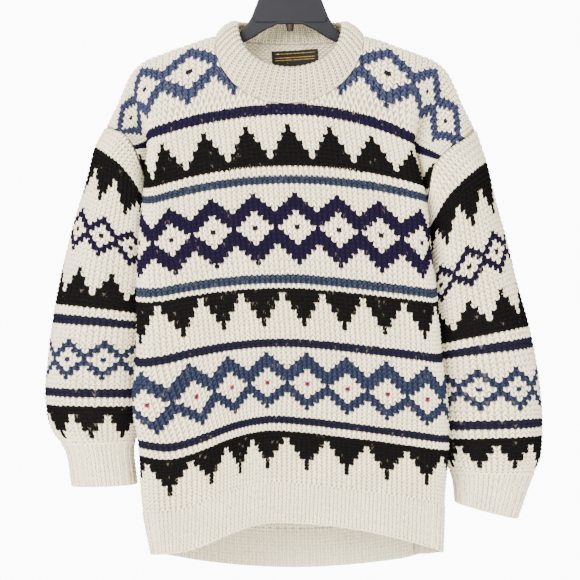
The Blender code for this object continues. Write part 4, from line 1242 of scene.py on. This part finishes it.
    def rib_stitches(self, rib: Rib) -> list[bpy.types.Object]:
        """Stitches on the crests of ribs, purl bumps in their furrows and the cast-on edge."""
        made = []
        for side in ((False, True) if rib.inside else (False,)):
            top = rib.high - (COLLAR_GAP if rib.high > 0 else WELT_GAP)
            if side and rib.high == 0:
                top = INNER_RIB_ROWS
            rows = np.arange(rib.low + RIB_START, top, RIB_ROW)
            knits, purls = (rib.furrows, rib.peaks) if side else (rib.peaks, rib.furrows)
            label = rib.node + ("_inner" if side else "")
            parts = (("_stitches", knits, self.rib_leg, RIB_STITCHES[0], RIB_RELIEF * 0.8),
                     ("_purls", purls, rib.purl, RIB_STITCHES[1], rib.purl_lift))
            for title, places, template, width, lift in parts:
                cells = np.array([(u, v, 1.0) for u in places for v in rows])
                made.append(knit(label + title, rib.surface, cells, template, self.rng,
                                 rib.pitch * width, lift, side))
        edge = np.array([(u, rib.low - EDGE_DROP, 1.0)
                         for u in np.sort(np.concatenate((rib.peaks, rib.furrows)))])
        made.append(knit(rib.node + "_edge", rib.surface, edge, purl_bump(0.62, 0.5, 2.6), self.rng,
                         rib.pitch, 2.0 - WALL / 2))
        for piece in made:
            piece.data.materials.append(self.wardrobe.wool(Yarn.CREAM))
            self.finish_piece(piece, "wool_rib")
        return made

    def build_sleeve(self, side: str, leg: bpy.types.Mesh) -> None:
        """One sleeve and its cuff."""
        sleeve = self.sleeves[side]
        lines_u = np.arange(0, SLEEVE_COLUMNS + 0.01, 1.0)
        lines_v = np.arange(0.0, SLEEVE_TOP + 0.01, 1.0)
        wall = cloth_wall(sleeve.name + "_cloth", sleeve, lines_u, lines_v, lambda u, v: 0 * u,
                          self.sink, self.wall)
        centres = face_middles(lines_u, lines_v, self.wall, True)
        chart = SLEEVE_CHARTS[side]
        self.paint(wall, lambda spots: [chart.yarn(int(u), int(v)) for u, v in spots], centres)
        self.finish_piece(wall, "wool", sleeve.name)
        cells = [(column + 0.5, row, 1.0, chart.yarn(column, row))
                 for row in range(int(SLEEVE_TOP)) for column in range(SLEEVE_COLUMNS)]
        pieces = self.dress(sleeve.name, sleeve, cells, leg)

        turns = np.arange(0.0, SLEEVE_COLUMNS, 2.0)
        lines_v = np.array([CUFF_EDGE, CUFF_EDGE + 0.15, CUFF_EDGE + 0.5, -7.2, *WELT_ROWS])
        cuff = Rib("cuff_" + side, sleeve, np.arange(0, SLEEVE_COLUMNS + 0.01, 0.5), lines_v,
                   turns + 1.0, turns, 2.0, CUFF_EDGE, 0.0, self.rib_leg, -0.6)
        self.build_rib(cuff)

    def build_collar(self) -> None:
        """Ribbed collar."""
        turns = np.arange(0.0, COLLAR_RIBS)
        lines_v = np.array([0.0, 0.3, 0.8, 1.6, 2.6, 3.8, 5.0, 6.2, 7.3, 8.2, 8.7, COLLAR_ROWS])
        rib = Rib("collar", self.collar, np.arange(0, COLLAR_RIBS + 0.01, 0.25), lines_v,
                  turns + 0.5, turns, 1.0, 0.0, COLLAR_ROWS, purl_bump(0.7, 0.5, 1.6), -1.2,
                  fade=0.4, inside=True)
        self.build_rib(rib)

    def build(self) -> None:
        """Every knitted piece."""
        self.build_panel(self.front, self.leg)
        self.build_panel(self.back, self.plain_leg)
        self.build_hem(self.front)
        self.build_hem(self.back)
        for side in ("left", "right"):
            self.build_sleeve(side, self.leg)
        self.build_collar()


@dataclass
class Hanger:
    """The moulded hanger, its wire hook and the woven label, which keep their solids."""

    def plastic(self) -> bpy.types.Material:
        """Moulded polypropylene, near black and satin, with the fine grain of its mould."""
        made, tree, shader = new_material("moulded_polypropylene")
        spot = add_node(tree, "ShaderNodeTexCoord").outputs["Object"]
        grain = add_node(tree, "ShaderNodeTexNoise", {"Vector": spot, "Scale": 1000 / 1.5,
                                                      "Detail": 3.0})
        bump = add_node(tree, "ShaderNodeBump", {"Height": grain.outputs["Fac"], "Strength": 0.15,
                                                 "Distance": 0.1 * MM})
        wide = add_node(tree, "ShaderNodeTexNoise", {"Vector": spot, "Scale": 1000 / 30.0})
        tint = add_node(tree, "ShaderNodeMix", {0: wide.outputs["Fac"], 6: linear("#0A0A0E"),
                                                7: linear("#131217")}, data_type="RGBA")
        rough = add_node(tree, "ShaderNodeMapRange", {"Value": wide.outputs["Fac"], "To Min": 0.42,
                                                      "To Max": 0.55})
        tree.links.new(tint.outputs[2], shader.inputs["Base Color"])
        tree.links.new(rough.outputs["Result"], shader.inputs["Roughness"])
        tree.links.new(bump.outputs["Normal"], shader.inputs["Normal"])
        shader.inputs["IOR"].default_value = 1.49
        shader.inputs["Specular IOR Level"].default_value = 0.25
        return made

    def metal(self, name: str, colour: str, roughness: float, grain_mm: float) -> bpy.types.Material:
        """Drawn wire or a turned boss: metal with fine lines from its tool."""
        made, tree, shader = new_material(name)
        spot = add_node(tree, "ShaderNodeTexCoord").outputs["Object"]
        lines = add_node(tree, "ShaderNodeTexNoise", {"Vector": spot, "Scale": 1000 / grain_mm,
                                                      "Detail": 2.0})
        rough = add_node(tree, "ShaderNodeMapRange", {"Value": lines.outputs["Fac"],
                                                      "To Min": roughness * 0.7,
                                                      "To Max": roughness * 1.3})
        shader.inputs["Base Color"].default_value = linear(colour)
        shader.inputs["Metallic"].default_value = 1.0
        tree.links.new(rough.outputs["Result"], shader.inputs["Roughness"])
        return made

    def build(self) -> None:
        """Dress the hanger's solids."""
        plastic = self.plastic()
        finishes = {"hanger": plastic, "hanger_plate": plastic,
                    "hanger_hook": self.metal("chromed_wire", "#D9DADD", 0.16, 0.8),
                    "hanger_boss": self.metal("aged_pewter", "#3A322D", 0.5, 0.6),
                    "neck_label": self.label()}
        for node, finish in finishes.items():
            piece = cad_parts[node]
            for slot in piece.material_slots:
                slot.material = finish
        log.info("hanger: %d solids dressed", len(finishes))

    def label(self) -> bpy.types.Material:
        """Woven satin label: near-black warp with plain gold stripes, and no lettering."""
        made, tree, shader = new_material("woven_satin_label")
        spot = add_node(tree, "ShaderNodeTexCoord").outputs["Object"]
        place = add_node(tree, "ShaderNodeSeparateXYZ", {"Vector": spot})
        low, high = (Vector(corner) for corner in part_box("neck_label"))
        tilt = add_node(tree, "ShaderNodeMath", {0: place.outputs["X"], 1: -LABEL_TILT,
                                                 2: place.outputs["Z"]}, operation="MULTIPLY_ADD")
        middle = (low.z + high.z) / 2 - LABEL_TILT * (low.x + high.x) / 2
        half = (high.z - low.z - LABEL_TILT * (high.x - low.x)) / 2
        up = add_node(tree, "ShaderNodeMapRange", {"Value": tilt.outputs["Value"],
                                                   "From Min": middle - half,
                                                   "From Max": middle + half})
        out = add_node(tree, "ShaderNodeMapRange", {"Value": place.outputs["X"], "From Min": low.x,
                                                    "From Max": high.x})
        stripes = self.steps(tree, up.outputs["Result"],
                             ((0.41, 0.45), (0.55, 0.60), (0.80, 0.84)))
        ends = self.steps(tree, out.outputs["Result"], ((0.08, 0.92),))
        gold = add_node(tree, "ShaderNodeMath", {0: stripes, 1: ends}, operation="MULTIPLY")
        weave = add_node(tree, "ShaderNodeTexNoise", {"Vector": spot, "Scale": 1000 / 0.9,
                                                      "Detail": 2.0})
        worn = add_node(tree, "ShaderNodeMapRange", {"Value": weave.outputs["Fac"], "From Min": 0.35,
                                                     "From Max": 0.6})
        share = add_node(tree, "ShaderNodeMath", {0: gold.outputs["Value"], 1: worn.outputs["Result"]},
                         operation="MULTIPLY")
        tint = add_node(tree, "ShaderNodeMix", {0: share.outputs["Value"], 6: linear("#0D0A08"),
                                                7: linear("#A8842A")}, data_type="RGBA")
        tree.links.new(tint.outputs[2], shader.inputs["Base Color"])
        shader.inputs["Roughness"].default_value = 0.6
        shader.inputs["Specular IOR Level"].default_value = 0.15
        return made

    def steps(self, tree: bpy.types.NodeTree, value: bpy.types.NodeSocket,
              ranges: Sequence[tuple[float, float]]) -> bpy.types.NodeSocket:
        """A socket that is 1 where a value lies in one of the ranges, and else 0."""
        total = None
        for low, high in ranges:
            above = add_node(tree, "ShaderNodeMath", {0: value, 1: low}, operation="GREATER_THAN")
            below = add_node(tree, "ShaderNodeMath", {0: value, 1: high}, operation="LESS_THAN")
            both = add_node(tree, "ShaderNodeMath", {0: above.outputs["Value"],
                                                     1: below.outputs["Value"]},
                            operation="MULTIPLY").outputs["Value"]
            if total is None:
                total = both
            else:
                total = add_node(tree, "ShaderNodeMath", {0: total, 1: both}).outputs["Value"]
        return total


@dataclass
class Studio:
    """White surroundings that the lens sees burnt out, soft lights and the camera."""

    distance: float = 2.45
    field_width: float = 0.789      # width of the picture at the pullover's middle plane
    aim_height: float = -0.479
    lights: tuple = (           # name, place in metres, side of the soft box, watts
        ("key", (-1.5, -2.3, 0.6), 1.5, 190.0),
        ("fill", (1.9, -2.0, 0.2), 2.0, 50.0),
        ("low", (0.2, -1.7, -1.9), 1.6, 90.0),
        ("rim", (0.3, 2.2, 1.2), 2.0, 60.0),
    )

    def build(self) -> None:
        """Set the studio up."""
        scene = bpy.context.scene
        lens = bpy.data.cameras.new("camera")
        lens.angle = 2 * math.atan(self.field_width / 2 / self.distance)
        eye = bpy.data.objects.new("camera", lens)
        eye.location = (0.0, -self.distance, self.aim_height)
        eye.rotation_euler = (math.radians(90), 0, 0)
        bpy.context.collection.objects.link(eye)
        scene.camera = eye
        self.world(scene)
        for setup in self.lights:
            self.light(*setup)

    def world(self, scene: bpy.types.Scene) -> None:
        """Even white surroundings."""
        world = bpy.data.worlds.new("studio")
        world.use_nodes = True
        tree = world.node_tree
        sky = tree.nodes["Background"]
        sky.inputs["Color"].default_value = linear("#FAFAFA")
        path = add_node(tree, "ShaderNodeLightPath")
        strength = add_node(tree, "ShaderNodeMapRange", {"Value": path.outputs["Is Camera Ray"],
                                                         "To Min": 1.6, "To Max": 12.0})
        tree.links.new(strength.outputs["Result"], sky.inputs["Strength"])
        scene.world = world

    def light(self, name: str, place: tuple[float, float, float], size: float, watts: float) -> None:
        """A square soft box aimed at the pullover."""
        lamp = bpy.data.lights.new(name, "AREA")
        lamp.size = size
        lamp.energy = watts
        made = bpy.data.objects.new(name, lamp)
        made.location = place
        aim = Vector((0, 0, self.aim_height)) - Vector(place)
        made.rotation_euler = aim.to_track_quat("-Z", "Y").to_euler()
        bpy.context.collection.objects.link(made)


def main() -> None:
    """Build every piece."""
    logging.basicConfig(level=logging.INFO, format="%(name)s: %(message)s")
    Studio().build()
    Pullover(Wardrobe()).build()
    Hanger().build()


if __name__ == "__main__":
    main()
